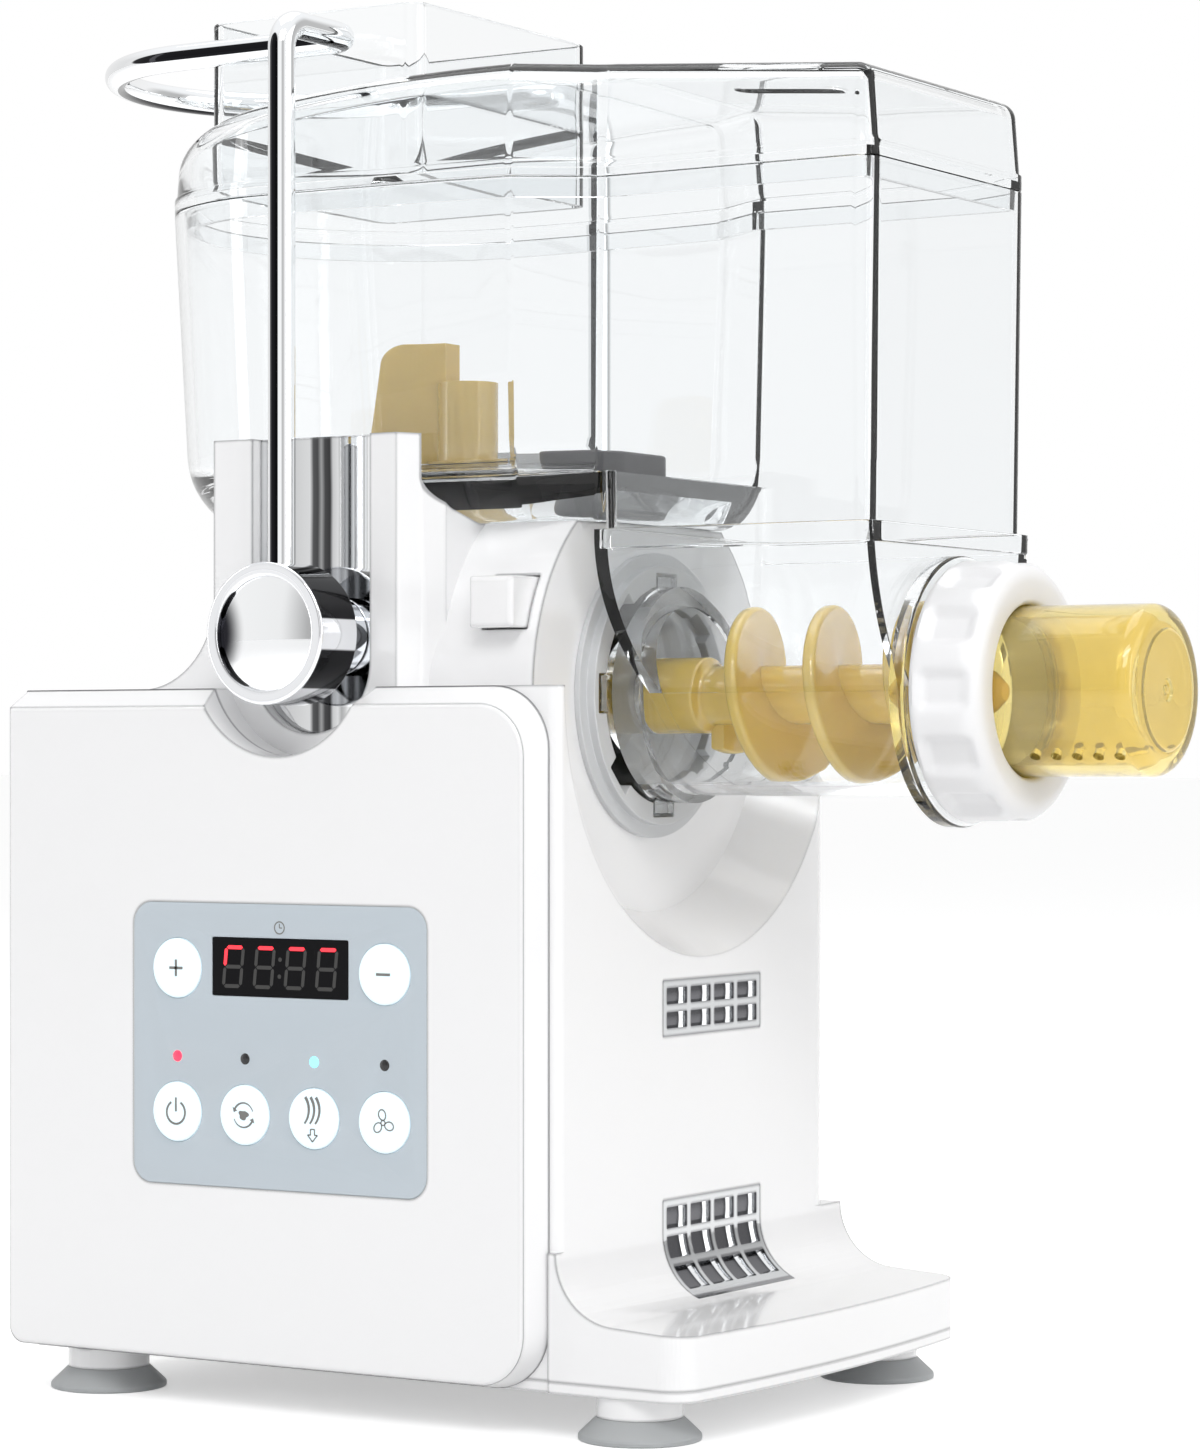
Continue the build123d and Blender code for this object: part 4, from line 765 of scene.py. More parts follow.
class Groups:
    """Shader node groups shared by the finishes, each made once."""

    _made: dict[Pattern, bpy.types.NodeTree] = {}

    @classmethod
    def get(cls, pattern: Pattern) -> bpy.types.NodeTree:
        """Group of a pattern, made at its first use.

        Args:
            pattern: The pattern.

        Returns:
            The tree of its group.
        """
        if pattern not in cls._made:
            makers = {Pattern.GRAIN: cls._moulded_grain, Pattern.POLISH: cls._polish_marks,
                      Pattern.FACINGS: cls._painted_dark_reflection, Pattern.BANDS: cls._painted_reflection_bands,
                      Pattern.EDGES: cls._edge_shade, Pattern.DUST: cls._rest_dust}
            cls._made[pattern] = makers[pattern]()
        return cls._made[pattern]

    @staticmethod
    def _moulded_grain() -> bpy.types.NodeTree:
        """Fine grain over slow waves: the height is a mix of two noises, the mask a third.

        Returns:
            The tree of the group.
        """
        net, given = Net.group("moulded_grain", Grain_Scale=900.0, Wave_Scale=14.0, Wave_Share=0.5)
        place = net.add("TexCoord").outputs["Object"]
        grain = net.add("TexNoise", Vector=place, Scale=given["Grain Scale"], Detail=3.0)
        wave = net.add("TexNoise", Vector=place, Scale=given["Wave Scale"], Detail=1.0)
        patch = net.add("TexNoise", Vector=place, Scale=9.0, Detail=5.0)
        mix = net.add("Mix", Factor=given["Wave Share"], A=grain.outputs["Fac"], B=wave.outputs["Fac"])
        return net.close(Height=mix.outputs["Result"], Mask=patch.outputs["Fac"])

    @staticmethod
    def _edge_shade() -> bpy.types.NodeTree:
        """Thin painted shade along convex edges: how soon rays sent inwards come out again.

        Returns:
            The tree of the group.
        """
        net, given = Net.group("edge_shade", Reach=0.0008)
        inner = net.add("AmbientOcclusion", Distance=given["Reach"])
        inner.samples, inner.inside, inner.only_local = 8, True, True
        return net.close(Edge=net.spread(inner.outputs["AO"], From_Min=0.55, From_Max=0.93, To_Min=1.0, To_Max=0.0))

    @staticmethod
    def _polish_marks() -> bpy.types.NodeTree:
        """Faint wiping marks and smudges: a stretched noise and a cloudy one, both 0 to 1.

        Returns:
            The tree of the group.
        """
        net, given = Net.group("polish_marks", Scale=40.0, Stretch=12.0)
        place = net.add("TexCoord").outputs["Object"]
        split = net.add("SeparateXYZ", Vector=place).outputs
        join = net.add("CombineXYZ", X=split["X"], Y=split["Y"], Z=net.math("MULTIPLY", split["Z"], given["Stretch"]))
        marks = net.add("TexNoise", Vector=join.outputs[0], Scale=given["Scale"])
        smudge = net.add("TexNoise", Vector=place, Scale=given["Scale"], Detail=4.0)
        return net.close(Marks=marks.outputs["Fac"], Smudge=smudge.outputs["Fac"])

    @staticmethod
    def _painted_dark_reflection() -> bpy.types.NodeTree:
        """Painted dark reflection on polished metal, set by the normal: the mask is 1 where the normal's product with
        a way passes its limit.

        Returns:
            The tree of the group.
        """
        ways = facings((0.0, -1.0, 0.0, 0.94), (0.35, 0.0, -0.94, 0.94))
        net, given = Net.group("dark_facings", **ways)
        normal = net.add("NewGeometry").outputs["Normal"]
        noise = net.add("TexNoise", Vector=net.add("TexCoord").outputs["Object"], Scale=60.0)
        masks = []
        for which in ("First", "Second"):
            way = net.add("CombineXYZ", **{part: given[f"{which} {part}"] for part in "XYZ"})
            match = net.add("VectorMath")
            match.operation = "DOT_PRODUCT"
            net.put(normal, match.inputs[0])
            net.put(way.outputs[0], match.inputs[1])
            over = net.math("SUBTRACT", match.outputs["Value"], given[f"{which} Limit"])
            masks.append(net.spread(over, "SMOOTHSTEP", From_Min=-0.006, From_Max=0.006, To_Min=0.0, To_Max=1.0))
        return net.close(Height=noise.outputs["Fac"], Mask=net.math("MAXIMUM", *masks))

    @staticmethod
    def _painted_reflection_bands() -> bpy.types.NodeTree:
        """Painted reflection bands of a polished upright strip: a grey ramp over X, slightly bent by a slow noise.

        Returns:
            The tree of the group.
        """
        stops = ((0.0, 0.35), (0.05, 0.12), (0.20, 0.38), (0.30, 0.30), (0.44, 0.20), (0.47, 0.90),
                 (0.51, 0.93), (0.54, 0.62), (0.57, 0.93), (0.615, 0.96), (0.64, 0.32), (0.68, 0.18),
                 (0.71, 0.50), (0.735, 0.40), (0.77, 0.05), (1.0, 0.02))
        net, given = Net.group("standing_bands", Middle=0.0, Half_Width=0.01635)
        place = net.add("TexCoord").outputs["Object"]
        noise = net.add("TexNoise", Vector=place, Scale=22.0).outputs["Fac"]
        away = net.math("SUBTRACT", net.add("SeparateXYZ", Vector=place).outputs["X"], given["Middle"])
        bent = net.math("MULTIPLY_ADD", noise, 0.06, net.math("DIVIDE", away, given["Half Width"]))
        along = net.spread(bent, From_Min=-1.0, From_Max=1.0, To_Min=0.0, To_Max=1.0)
        return net.close(Height=noise, Mask=net.ramp(stops, along))

    @staticmethod
    def _rest_dust() -> bpy.types.NodeTree:
        """Thin dust on what faces up: the upward part of the normal, broken up by noise.

        Returns:
            The tree of the group.
        """
        net, given = Net.group("rest_dust", Amount=0.2)
        upward = net.add("SeparateXYZ", Vector=net.add("NewGeometry").outputs["Normal"]).outputs["Z"]
        noise = net.add("TexNoise", Vector=net.add("TexCoord").outputs["Object"], Scale=130.0, Detail=6.0)
        limit = net.spread(upward, From_Min=0.55, From_Max=1.0)
        broken = net.math("MULTIPLY", limit, noise.outputs["Fac"])
        return net.close(Dust=net.math("MULTIPLY", broken, given["Amount"]))


DUST_COLOR = (0.72, 0.71, 0.69)
# colour of the painted shade along convex edges
EDGE_SHADE_COLOR = (0.22, 0.22, 0.23)


@dataclass(frozen=True)
class Finish:
    """One finish: a Principled surface whose colour, gloss and relief vary over the piece."""

    name: str
    slot: str
    color: tuple[float, float, float]
    second: tuple[float, float, float]
    rough: tuple[float, float]
    metallic: float = 0.0
    coat: float = 0.0
    clear: float = 0.0
    ior: float = 1.5
    group: Pattern = Pattern.GRAIN
    relief: float = 0.05
    relief_mm: float = 0.02
    dust: float = 0.0
    # strength of the painted shade along convex edges
    edge: float = 0.0
    glow: tuple[float, float, float] | None = None
    glow_strength: float = 0.0
    sub: float = 0.0
    group_values: dict[str, float] = field(default_factory=dict)

    def build(self) -> bpy.types.Material:
        """Makes the material: a pattern drives colour mix, roughness and bump.

        Returns:
            The new material.
        """
        material = bpy.data.materials.new(self.name)
        material.use_nodes = True
        net, surface = Net(material.node_tree), material.node_tree.nodes["Principled BSDF"]
        net.fill(surface, Metallic=self.metallic, IOR=self.ior, Transmission_Weight=self.clear,
                 Coat_Weight=self.coat, Coat_Roughness=0.06)
        if self.sub:
            net.fill(surface, Subsurface_Weight=self.sub, Subsurface_Radius=(0.004, 0.0035, 0.003),
                     Subsurface_Scale=1.0)
        # for the reflection patterns the mask marks painted reflection, for the others the surface's own variation
        height, mask = net.effect(self.group, **self.group_values).values()[:2]
        color = net.blend(self.color, self.second, mask)
        if self.dust:
            color = net.blend(color, DUST_COLOR, net.effect(Pattern.DUST, Amount=self.dust)["Dust"])
        # painted shade along convex edges, mixed into the colour
        if self.edge:
            shade = net.math("MULTIPLY", net.effect(Pattern.EDGES)["Edge"], self.edge)
            color = net.blend(color, EDGE_SHADE_COLOR, shade)
        gloss = net.spread(mask, From_Min=0.3, From_Max=0.7, To_Min=self.rough[0], To_Max=self.rough[1])
        net.fill(surface, Base_Color=color, Roughness=gloss)
        if self.relief:
            bump = net.add("Bump", Strength=self.relief, Distance=self.relief_mm * MM, Height=height)
            net.fill(surface, Normal=bump.outputs["Normal"])
        if self.glow:
            net.fill(surface, Emission_Color=(*self.glow, 1.0), Emission_Strength=self.glow_strength)
        return material


FINISHES = {
    finish.name: finish for finish in (
        Finish("white_gloss", "white_gloss", (0.86, 0.86, 0.865), (0.84, 0.84, 0.85), (0.16, 0.24),
               coat=0.5, relief=0.12, dust=0.10, edge=0.75),
        Finish("grip_white", "white_gloss", (0.84, 0.84, 0.85), (0.80, 0.80, 0.81), (0.30, 0.42),
               relief=0.3, relief_mm=0.03, dust=0.10, edge=0.4),
        Finish("chrome", "chrome", (0.90, 0.91, 0.93), (0.86, 0.87, 0.89), (0.02, 0.06), metallic=1.0,
               group=Pattern.POLISH, relief=0.03, relief_mm=0.004),
        # chrome_bar, chrome_knob, chrome_vent and chrome_cap: the second colour is a painted dark reflection, set by
        # the normal
        Finish("chrome_bar", "chrome", (0.92, 0.93, 0.94), (0.012, 0.012, 0.014), (0.03, 0.05), metallic=1.0,
               group=Pattern.FACINGS, relief=0.02, relief_mm=0.003),
        Finish("chrome_knob", "chrome", (0.90, 0.91, 0.93), (0.012, 0.012, 0.014), (0.03, 0.05), metallic=1.0,
               group=Pattern.FACINGS, relief=0.02, relief_mm=0.003, edge=0.9,
               group_values=facings((0.77, 0.0, 0.64, 0.88), (0.85, 0.0, -0.53, 0.95))),
        # chrome_vent: the vent linings, painted dark where they face forwards as a painted dark reflection
        Finish("chrome_vent", "white_gloss", (0.86, 0.87, 0.88), (0.13, 0.13, 0.14), (0.12, 0.2), metallic=1.0,
               group=Pattern.FACINGS, relief=0.03, relief_mm=0.004,
               group_values=facings((1.0, 0.0, 0.0, 0.94), (0.75, 0.0, 0.66, 0.93))),
        Finish("chrome_grille", "white_gloss", (0.66, 0.67, 0.68), (0.60, 0.61, 0.62), (0.10, 0.16),
               metallic=1.0, relief=0.05, relief_mm=0.01, edge=0.9),
        Finish("chrome_cap", "chrome", (0.93, 0.94, 0.95), (0.02, 0.02, 0.025), (0.03, 0.05), metallic=1.0,
               group=Pattern.FACINGS, relief=0.02, relief_mm=0.003,
               group_values=facings((-0.26, -0.966, 0.0, 0.9877), (-0.26, 0.966, 0.0, 0.9877))),
        # chrome_strip: its colour runs through painted reflection bands over X
        Finish("chrome_strip", "chrome", (0.93, 0.94, 0.95), (0.01, 0.01, 0.012), (0.04, 0.05), metallic=1.0,
               group=Pattern.BANDS, relief=0.05, relief_mm=0.01, edge=0.9,
               group_values={"Middle": (BAIL_X + DATUM_X) * MM}),
        Finish("steel", "steel", (0.60, 0.60, 0.61), (0.52, 0.52, 0.54), (0.28, 0.42), metallic=1.0,
               group=Pattern.POLISH, relief=0.15, relief_mm=0.01),
        Finish("motor_metal", "motor_metal", (0.50, 0.50, 0.51), (0.42, 0.42, 0.43), (0.35, 0.5),
               metallic=1.0, group=Pattern.POLISH, relief=0.15, relief_mm=0.01),
        Finish("bronze", "bronze", (0.66, 0.45, 0.22), (0.55, 0.36, 0.17), (0.35, 0.5), metallic=1.0,
               relief=0.2),
        Finish("clear_plastic", "clear_plastic", (0.960, 0.971, 0.976), (0.952, 0.964, 0.971), (0.0, 0.02),
               clear=1.0, ior=1.42, group=Pattern.POLISH, relief=0.0),
        Finish("amber_plastic", "amber_plastic", (0.86, 0.62, 0.13), (0.80, 0.55, 0.10), (0.08, 0.14),
               coat=0.6, relief=0.08, sub=0.25),
        Finish("amber_clear", "amber_plastic", (0.95, 0.80, 0.32), (0.93, 0.77, 0.27), (0.02, 0.05),
               clear=0.85, ior=1.47, coat=0.3, relief=0.03),
        Finish("gold_plastic", "amber_plastic", (0.68, 0.50, 0.18), (0.60, 0.43, 0.14), (0.14, 0.22),
               coat=0.5, relief=0.15, relief_mm=0.03, sub=0.15),
        Finish("silicone", "silicone", (0.60, 0.62, 0.63), (0.52, 0.54, 0.55), (0.35, 0.5), clear=0.35,
               ior=1.41, relief=0.1, dust=0.25),
        Finish("grey_plastic", "grey_plastic", (0.62, 0.63, 0.64), (0.56, 0.57, 0.58), (0.34, 0.46),
               relief=0.3, relief_mm=0.03),
        Finish("dark_plastic", "dark_plastic", (0.09, 0.09, 0.095), (0.06, 0.06, 0.065), (0.38, 0.52),
               relief=0.4, relief_mm=0.03, dust=0.15),
        Finish("panel_grey", "panel_grey", (0.50, 0.56, 0.61), (0.49, 0.55, 0.60), (0.28, 0.32),
               coat=0.3, relief=0.15),
        Finish("print_grey", "panel_grey", (0.20, 0.20, 0.19), (0.16, 0.16, 0.15), (0.4, 0.5), relief=0.1),
        Finish("button_lit", "button_white", (0.80, 0.90, 0.93), (0.78, 0.88, 0.92), (0.25, 0.35),
               coat=0.3, relief=0.1, glow=(0.70, 0.90, 1.0), glow_strength=0.25),
        Finish("display_black", "display_black", (0.004, 0.004, 0.005), (0.006, 0.006, 0.007), (0.05, 0.10),
               ior=1.18, relief=0.0),
        Finish("digit_off", "display_black", (0.035, 0.034, 0.033), (0.028, 0.028, 0.027), (0.2, 0.3),
               relief=0.05),
        Finish("digit_lit", "lens_red", (0.85, 0.02, 0.03), (0.80, 0.02, 0.03), (0.3, 0.4), relief=0.05,
               glow=(1.0, 0.03, 0.05), glow_strength=1.3),
        Finish("light_red", "lens_red", (0.85, 0.03, 0.06), (0.80, 0.03, 0.06), (0.2, 0.3), relief=0.05,
               glow=(1.0, 0.03, 0.08), glow_strength=1.4),
        Finish("light_blue", "lens_red", (0.20, 0.70, 0.95), (0.15, 0.65, 0.92), (0.2, 0.3), relief=0.05,
               glow=(0.20, 0.72, 1.0), glow_strength=1.5),
        Finish("light_off", "lens_red", (0.012, 0.012, 0.014), (0.02, 0.02, 0.02), (0.12, 0.2), relief=0.05),
        Finish("circuit_board", "circuit_board", (0.04, 0.22, 0.10), (0.03, 0.17, 0.08), (0.3, 0.45),
               relief=0.4, relief_mm=0.05),
        Finish("gear_nylon", "gear_nylon", (0.80, 0.78, 0.72), (0.74, 0.72, 0.66), (0.35, 0.5),
               relief=0.2, sub=0.1),
    )
}
_materials: dict[str, bpy.types.Material] = {}


def give_material(mesh: bpy.types.Mesh, finish: str) -> None:
    """Gives a mesh the material of a finish, which is made at its first use.

    Args:
        mesh: The mesh.
        finish: Name of the finish.
    """
    if finish not in _materials:
        _materials[finish] = FINISHES[finish].build()
    mesh.materials.clear()
    mesh.materials.append(_materials[finish])


def dress(piece: bpy.types.Object, finish: str, body: str, *replaced: str) -> None:
    """Gives a piece its finish, its body and the CAD nodes that it stands for.

    Args:
        piece: The piece.
        finish: Name of its finish.
        body: Body that it rides on.
        *replaced: CAD nodes that it stands for.
    """
    give_material(piece.data, finish)
    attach(piece, body)
    if replaced:
        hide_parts(*replaced)
    LOG.info("piece %s on %s", piece.name, body)


def dress_node(node: str, finish: str) -> None:
    """Gives a CAD node that stays visible its finish."""
    give_material(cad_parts[node].data, finish)
    LOG.info("kept node %s", node)


# ============================================================ pieces carried over from the frame
@dataclass(frozen=True)
class Carried:
    """A CAD node shown as a merged copy with rounded edges and its own finish."""

    node: str
    finish: str
    body: str
    bevel: float = 0.0
    angle: float = 30.0

    def build(self) -> None:
        """Merges the node's triangles, joins its flat faces, rounds its edges and dresses it."""
        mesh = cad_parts[self.node].data.copy()
        mesh.materials.clear()
        work = bmesh.new()
        work.from_mesh(mesh)
        bmesh.ops.remove_doubles(work, verts=work.verts, dist=1e-6)
        bmesh.ops.dissolve_limit(work, angle_limit=math.radians(0.6), verts=work.verts, edges=work.edges)
        work.to_mesh(mesh)
        work.free()
        piece = shaded(self.node + "_skin", mesh, self.angle)
        if self.bevel:
            bevelled(piece, self.bevel, self.angle)
        dress(weighted(piece), self.finish, self.body, self.node)


def carried_pieces() -> list[Carried]:
    """Nodes shown as copies, with the width of their edge rounding in millimetres.

    Returns:
        The rows, in the order in which they are made.
    """
    rows = [
        Carried("housing_shell", "white_gloss", "machine", 0.8, 35),
        Carried("base_plate", "white_gloss", "machine", 0.5),
        Carried("upper_vent_grille", "chrome_grille", "machine"),
        Carried("lower_vent_grille", "chrome_grille", "machine"),
        Carried("bayonet_collar", "grey_plastic", "machine", 0.4),
        Carried("coupling_plate", "grey_plastic", "machine", 0.3),
        Carried("outlet_threshold", "dark_plastic", "machine", 0.6),
        Carried("kneading_paddle", "gold_plastic", "kneader", 0.6),
        Carried("lock_button", "white_gloss", "lock", 0.4),
        Carried("mains_gland", "dark_plastic", "machine", 0.4),
    ]
    for side in Side:
        name = side.name.lower()
        rows += [Carried(f"pillar_trim_{name}", "chrome_strip", "machine", 0.4),
                 Carried(f"pivot_collar_{name}", "chrome", "machine", 0.3)]
        rows += [Carried(f"suction_cup_{end}_{name}", "silicone", "machine", 0.3) for end in ("front", "rear")]
    return rows


KEPT_NODES = {
    "steel": ("base_screws", "pivot_pin_near", "pivot_pin_far", "drive_spindle", "knead_shaft",
              "motor_pinion", "drive_frame"),
    "motor_metal": ("extrude_motor", "knead_gearmotor"),
    "bronze": ("spindle_bearing",),
    "gear_nylon": ("drive_gear",),
    "circuit_board": ("control_board", "power_board"),
    "dark_plastic": ("fan_frame", "fan_rotor", "shaft_seal", "display_module"),
}


# ============================================================ control side
class Signs:
    """Signs of the control panel: each method draws its flat shapes round a centre."""

    @staticmethod
    def plus(x: float, z: float) -> list[Array]:
        """A plus of two strokes."""
        return [box_outline(x, z, 3.8, 0.62, 0.1, 2), box_outline(x, z, 0.62, 3.8, 0.1, 2)]

    @staticmethod
    def minus(x: float, z: float) -> list[Array]:
        """A minus of one stroke."""
        return [box_outline(x, z, 3.8, 0.62, 0.1, 2)]

    @staticmethod
    def power(x: float, z: float) -> list[Array]:
        """An open ring with a bar in its gap."""
        return [stroke(arc_points(x, z - 0.2, 2.6, 120, 420, 40), 0.5), box_outline(x, z + 1.6, 0.5, 3.2, 0.1, 2)]

    @staticmethod
    def knead(x: float, z: float) -> list[Array]:
        """A lump of dough between two turning arrows: a circle whose radius ripples.

        Args:
            x: X of the centre.
            z: Z of the centre.

        Returns:
            The outlines.
        """
        turn = np.linspace(0, 2 * math.pi, 48, endpoint=False)
        radius = 1.05 + 0.16 * np.sin(3 * turn + 0.6) + 0.08 * np.cos(5 * turn)
        shapes = [np.stack([x + 1.25 * radius * np.cos(turn), z + radius * np.sin(turn)], 1)]
        reach = 2.75
        for flip in (0.0, 180.0):
            shapes.append(stroke(arc_points(x, z, reach, 20 + flip, 150 + flip, 28), np.linspace(0.2, 0.5, 28)))
            tip = arc_points(x, z, reach, 168 + flip, 150 + flip, 2)
            out = (tip[1] - (x, z)) / reach
            shapes.append(np.array([tip[0], tip[1] + out * 0.75, tip[1] - out * 0.75]))
        return shapes

    @staticmethod
    def extrude(x: float, z: float) -> list[Array]:
        """Three bent strands above the outline of an arrow that points down.

        Args:
            x: X of the centre.
            z: Z of the centre.

        Returns:
            The outlines.
        """
        shapes = []
        for index in range(3):
            strand = arc_points(x - 5.6 + 1.45 * index, z + 2.0, 4.6, -42, 38, 26)
            shapes.append(stroke(strand, np.linspace(0.45, 0.75, 26)))
        arrow = np.array([(-0.55, -2.3), (0.55, -2.3), (0.55, -3.6), (1.35, -3.6), (0.0, -5.1),
                          (-1.35, -3.6), (-0.55, -3.6)]) + (x, z)
        return shapes + [stroke(np.array(ends), 0.3) for ends in zip(arrow, np.roll(arrow, -1, 0))]

    @staticmethod
    def fan(x: float, z: float) -> list[Array]:
        """Three petals round a hub, drawn as outlines; a petal is a bent ellipse, turned by thirds.

        Args:
            x: X of the centre.
            z: Z of the centre.

        Returns:
            The outlines.
        """
        shapes = [stroke(arc_points(x, z, 0.55, 0, 360, 24), 0.28)]
        turn = np.linspace(0.12, 2 * math.pi - 0.12, 30)
        petal = np.stack([1.75 + 1.15 * np.cos(turn + math.pi),
                          0.95 * np.sin(turn + math.pi) + 0.35 * np.sin(turn / 2)], 1)
        for index in range(3):
            lean = math.radians(90 + 120 * index)
            spin = np.array([[math.cos(lean), -math.sin(lean)], [math.sin(lean), math.cos(lean)]])
            shapes.append(stroke(petal @ spin.T + (x, z), 0.3))
        return shapes

    @staticmethod
    def clock(x: float, z: float) -> list[Array]:
        """A small dial with two hands."""
        return [stroke(arc_points(x, z, 1.35, 0, 360, 32), 0.28), box_outline(x, z + 0.45, 0.24, 0.95, 0.05, 2),
                box_outline(x + 0.35, z - 0.02, 0.75, 0.24, 0.05, 2)]


@dataclass(frozen=True)
class Digit:
    """Seven-segment digit of the display, slanted a little."""

    width: float = 5.6
    height: float = 9.6
    thick: float = 0.85
    gap: float = 0.16
    slant: float = 0.10

    def bar(self, start: tuple[float, float], end: tuple[float, float]) -> Array:
        """One bar with pointed ends between two places of the digit.

        Args:
            start: One end, from the centre of the digit.
            end: The other end.

        Returns:
            The outline.
        """
        first, last = np.array(start), np.array(end)
        along = (last - first) / np.linalg.norm(last - first)
        side, tip = np.array((-along[1], along[0])) * self.thick / 2, along * self.thick / 2
        first, last = first + along * self.gap, last - along * self.gap
        points = np.array([first, first + tip + side, last - tip + side, last, last - tip - side,
                           first + tip - side])
        points[:, 0] += points[:, 1] * self.slant
        return points

    def segments(self, x: float, z: float) -> dict[str, Array]:
        """Outlines of the seven bars by their usual letters, round a centre.

        Args:
            x: X of the centre.
            z: Z of the centre.

        Returns:
            The outline of each bar by its letter.
        """
        w, h = (self.width - self.thick) / 2, (self.height - self.thick) / 2
        ends = {"a": ((-w, h), (w, h)), "g": ((-w, 0), (w, 0)), "d": ((-w, -h), (w, -h)), "f": ((-w, 0), (-w, h)),
                "b": ((w, 0), (w, h)), "e": ((-w, -h), (-w, 0)), "c": ((w, -h), (w, 0))}
        return {letter: self.bar(*pair) + (x, z) for letter, pair in ends.items()}


@dataclass(frozen=True)
class ControlPanel:
    """Grey panel let into the cover, with its display, buttons, lights and signs."""

    x: float = -70.0
    z: float = 82.4
    size: tuple[float, float] = (81.0, 64.0)
    corner: float = 5.0
    front: float = COVER_Y - 0.2
    thickness: float = 2.2
    middle_x: float = -69.2
    column_pitch: float = 19.1
    upper_row_z: float = 99.5
    lower_row_z: float = 66.9
    display_z: float = 100.15
    display_size: tuple[float, float] = (37.8, 13.3)
    display_sunk: float = 0.12
    display_gap: float = 0.1
    digit: Digit = Digit()
    digit_pitch: float = 8.6
    lit_segments: tuple[str, ...] = ("af", "a", "a", "a")
    button_radius: float = 6.8
    button_gap: float = 0.12
    button_proud: float = 0.6
    button_depth: float = 1.5
    light_z: float = 79.5
    light_radius: float = 1.3
    lights: tuple[str, ...] = ("light_red", "light_off", "light_blue", "light_off")
    clock_rise: float = 9.0

    def build(self) -> None:
        """Makes the plate, the display, the buttons, the lights and the clock sign."""
        self.make_plate()
        self.make_display()
        for name, x, z, draw in self.buttons():
            self.make_button(name, x, z, draw)
        self.make_lights()
        sign = print_on_side("timer_sign", Signs.clock(self.middle_x, self.display_z + self.clock_rise), self.front)
        dress(sign, "print_grey", "machine")

    def column(self, index: int) -> float:
        """X of one of the four columns of controls."""
        return self.middle_x + (index - 1.5) * self.column_pitch

    def buttons(self) -> list[tuple[str, float, float, Callable[[float, float], list[Array]]]]:
        """Name, place and sign of each button.

        Returns:
            (name, X, Z, sign) of each button.
        """
        upper, lower = self.upper_row_z, self.lower_row_z
        return [("time_up_button", self.column(0), upper, Signs.plus),
                ("time_down_button", self.column(3), upper, Signs.minus),
                ("power_button", self.column(0), lower, Signs.power),
                ("knead_button", self.column(1), lower, Signs.knead),
                ("extrude_button", self.column(2), lower, Signs.extrude),
                ("fan_button", self.column(3), lower, Signs.fan)]

    def hole(self, outline: Array) -> bpy.types.Object:
        """Cutter that goes right through the plate."""
        return slab("hole", outline, self.front - 1, self.front + 4, Facing.SIDE, 0.01, 0.01)

    def make_plate(self) -> None:
        """Plate with its window and the holes of the buttons."""
        outline = box_outline(self.x, self.z, *self.size, self.corner, 10)
        plate = slab("panel_face", outline, self.front, self.front + self.thickness, Facing.SIDE, 0.35, 0.05)
        holes = [self.hole(box_outline(self.middle_x, self.display_z, *self.display_size, 0.4, 3))]
        for _, x, z, _ in self.buttons():
            holes.append(self.hole(circle_outline(x, z, self.button_radius + self.button_gap, 64)))
        cut(plate, *holes)
        dress(bevelled(plate, 0.12, 50), "panel_grey", "machine", "control_panel")

    def make_display(self) -> None:
        """Dark window with four digits and the two dots between the pairs."""
        width, height = (side - 2 * self.display_gap for side in self.display_size)
        front = self.front + self.display_sunk
        outline = box_outline(self.middle_x, self.display_z, width, height, 0.3, 3)
        glass = slab("display_glass", outline, front, self.front + 1.2, Facing.SIDE, 0.1, 0.05)
        dress(glass, "display_black", "machine", "display_window")
        lit, unlit = [], []
        for index, shown in enumerate(self.lit_segments):
            x = self.middle_x + (index - 1.5) * self.digit_pitch
            for letter, shape in self.digit.segments(x, self.display_z).items():
                (lit if letter in shown else unlit).append(shape)
        unlit += [circle_outline(self.middle_x + 0.1 * side, self.display_z + 1.9 * side, 0.5, 16)
                  for side in (-1, 1)]
        dress(print_on_side("digits_unlit", unlit, front, 0.03), "digit_off", "machine")
        dress(print_on_side("digits_lit", lit, front, 0.04), "digit_lit", "machine")

    def make_button(self, name: str, x: float, z: float, draw: Callable[[float, float], list[Array]]) -> None:
        """Lit disc with a round rim and its sign, both on the button's own body.

        Args:
            name: Node that it replaces.
            x: X of its centre.
            z: Z of its centre.
            draw: Draws its sign round a centre.
        """
        radius, face, rear = self.button_radius, self.button_proud - self.front, -self.front - self.button_depth
        rim = ((1.2, 0.0), (0.5, 0.06), (0.15, 0.22), (0.0, 0.5))
        profile = [(AXIS_HOLE, face), *((radius - inset, face - depth) for inset, depth in rim),
                   (radius, rear), (AXIS_HOLE, rear)]
        disc = skin(name + "_disc", along_y(spun_rings(profile, 64), x, z))
        dress(weighted(disc), "button_lit", name + "_cap", name)
        dress(print_on_side(name + "_sign", draw(x, z), self.front - self.button_proud), "print_grey",
              name + "_cap")

    def make_lights(self) -> None:
        """Four small domes above the lower row of buttons."""
        foot = -self.front - 0.05
        profile = [(AXIS_HOLE + self.light_radius * math.sin(a), foot + 0.35 * math.cos(a))
                   for a in np.linspace(0, math.pi / 2, 6)]
        profile.append((self.light_radius, -self.front - 1.0))
        for index, finish in enumerate(self.lights):
            rings = along_y(spun_rings(profile, 32), self.column(index), self.light_z)
            dress(skin(f"status_light_{index + 1}", rings), finish, "machine",
                  *(("indicator_lights",) if index == 0 else ()))


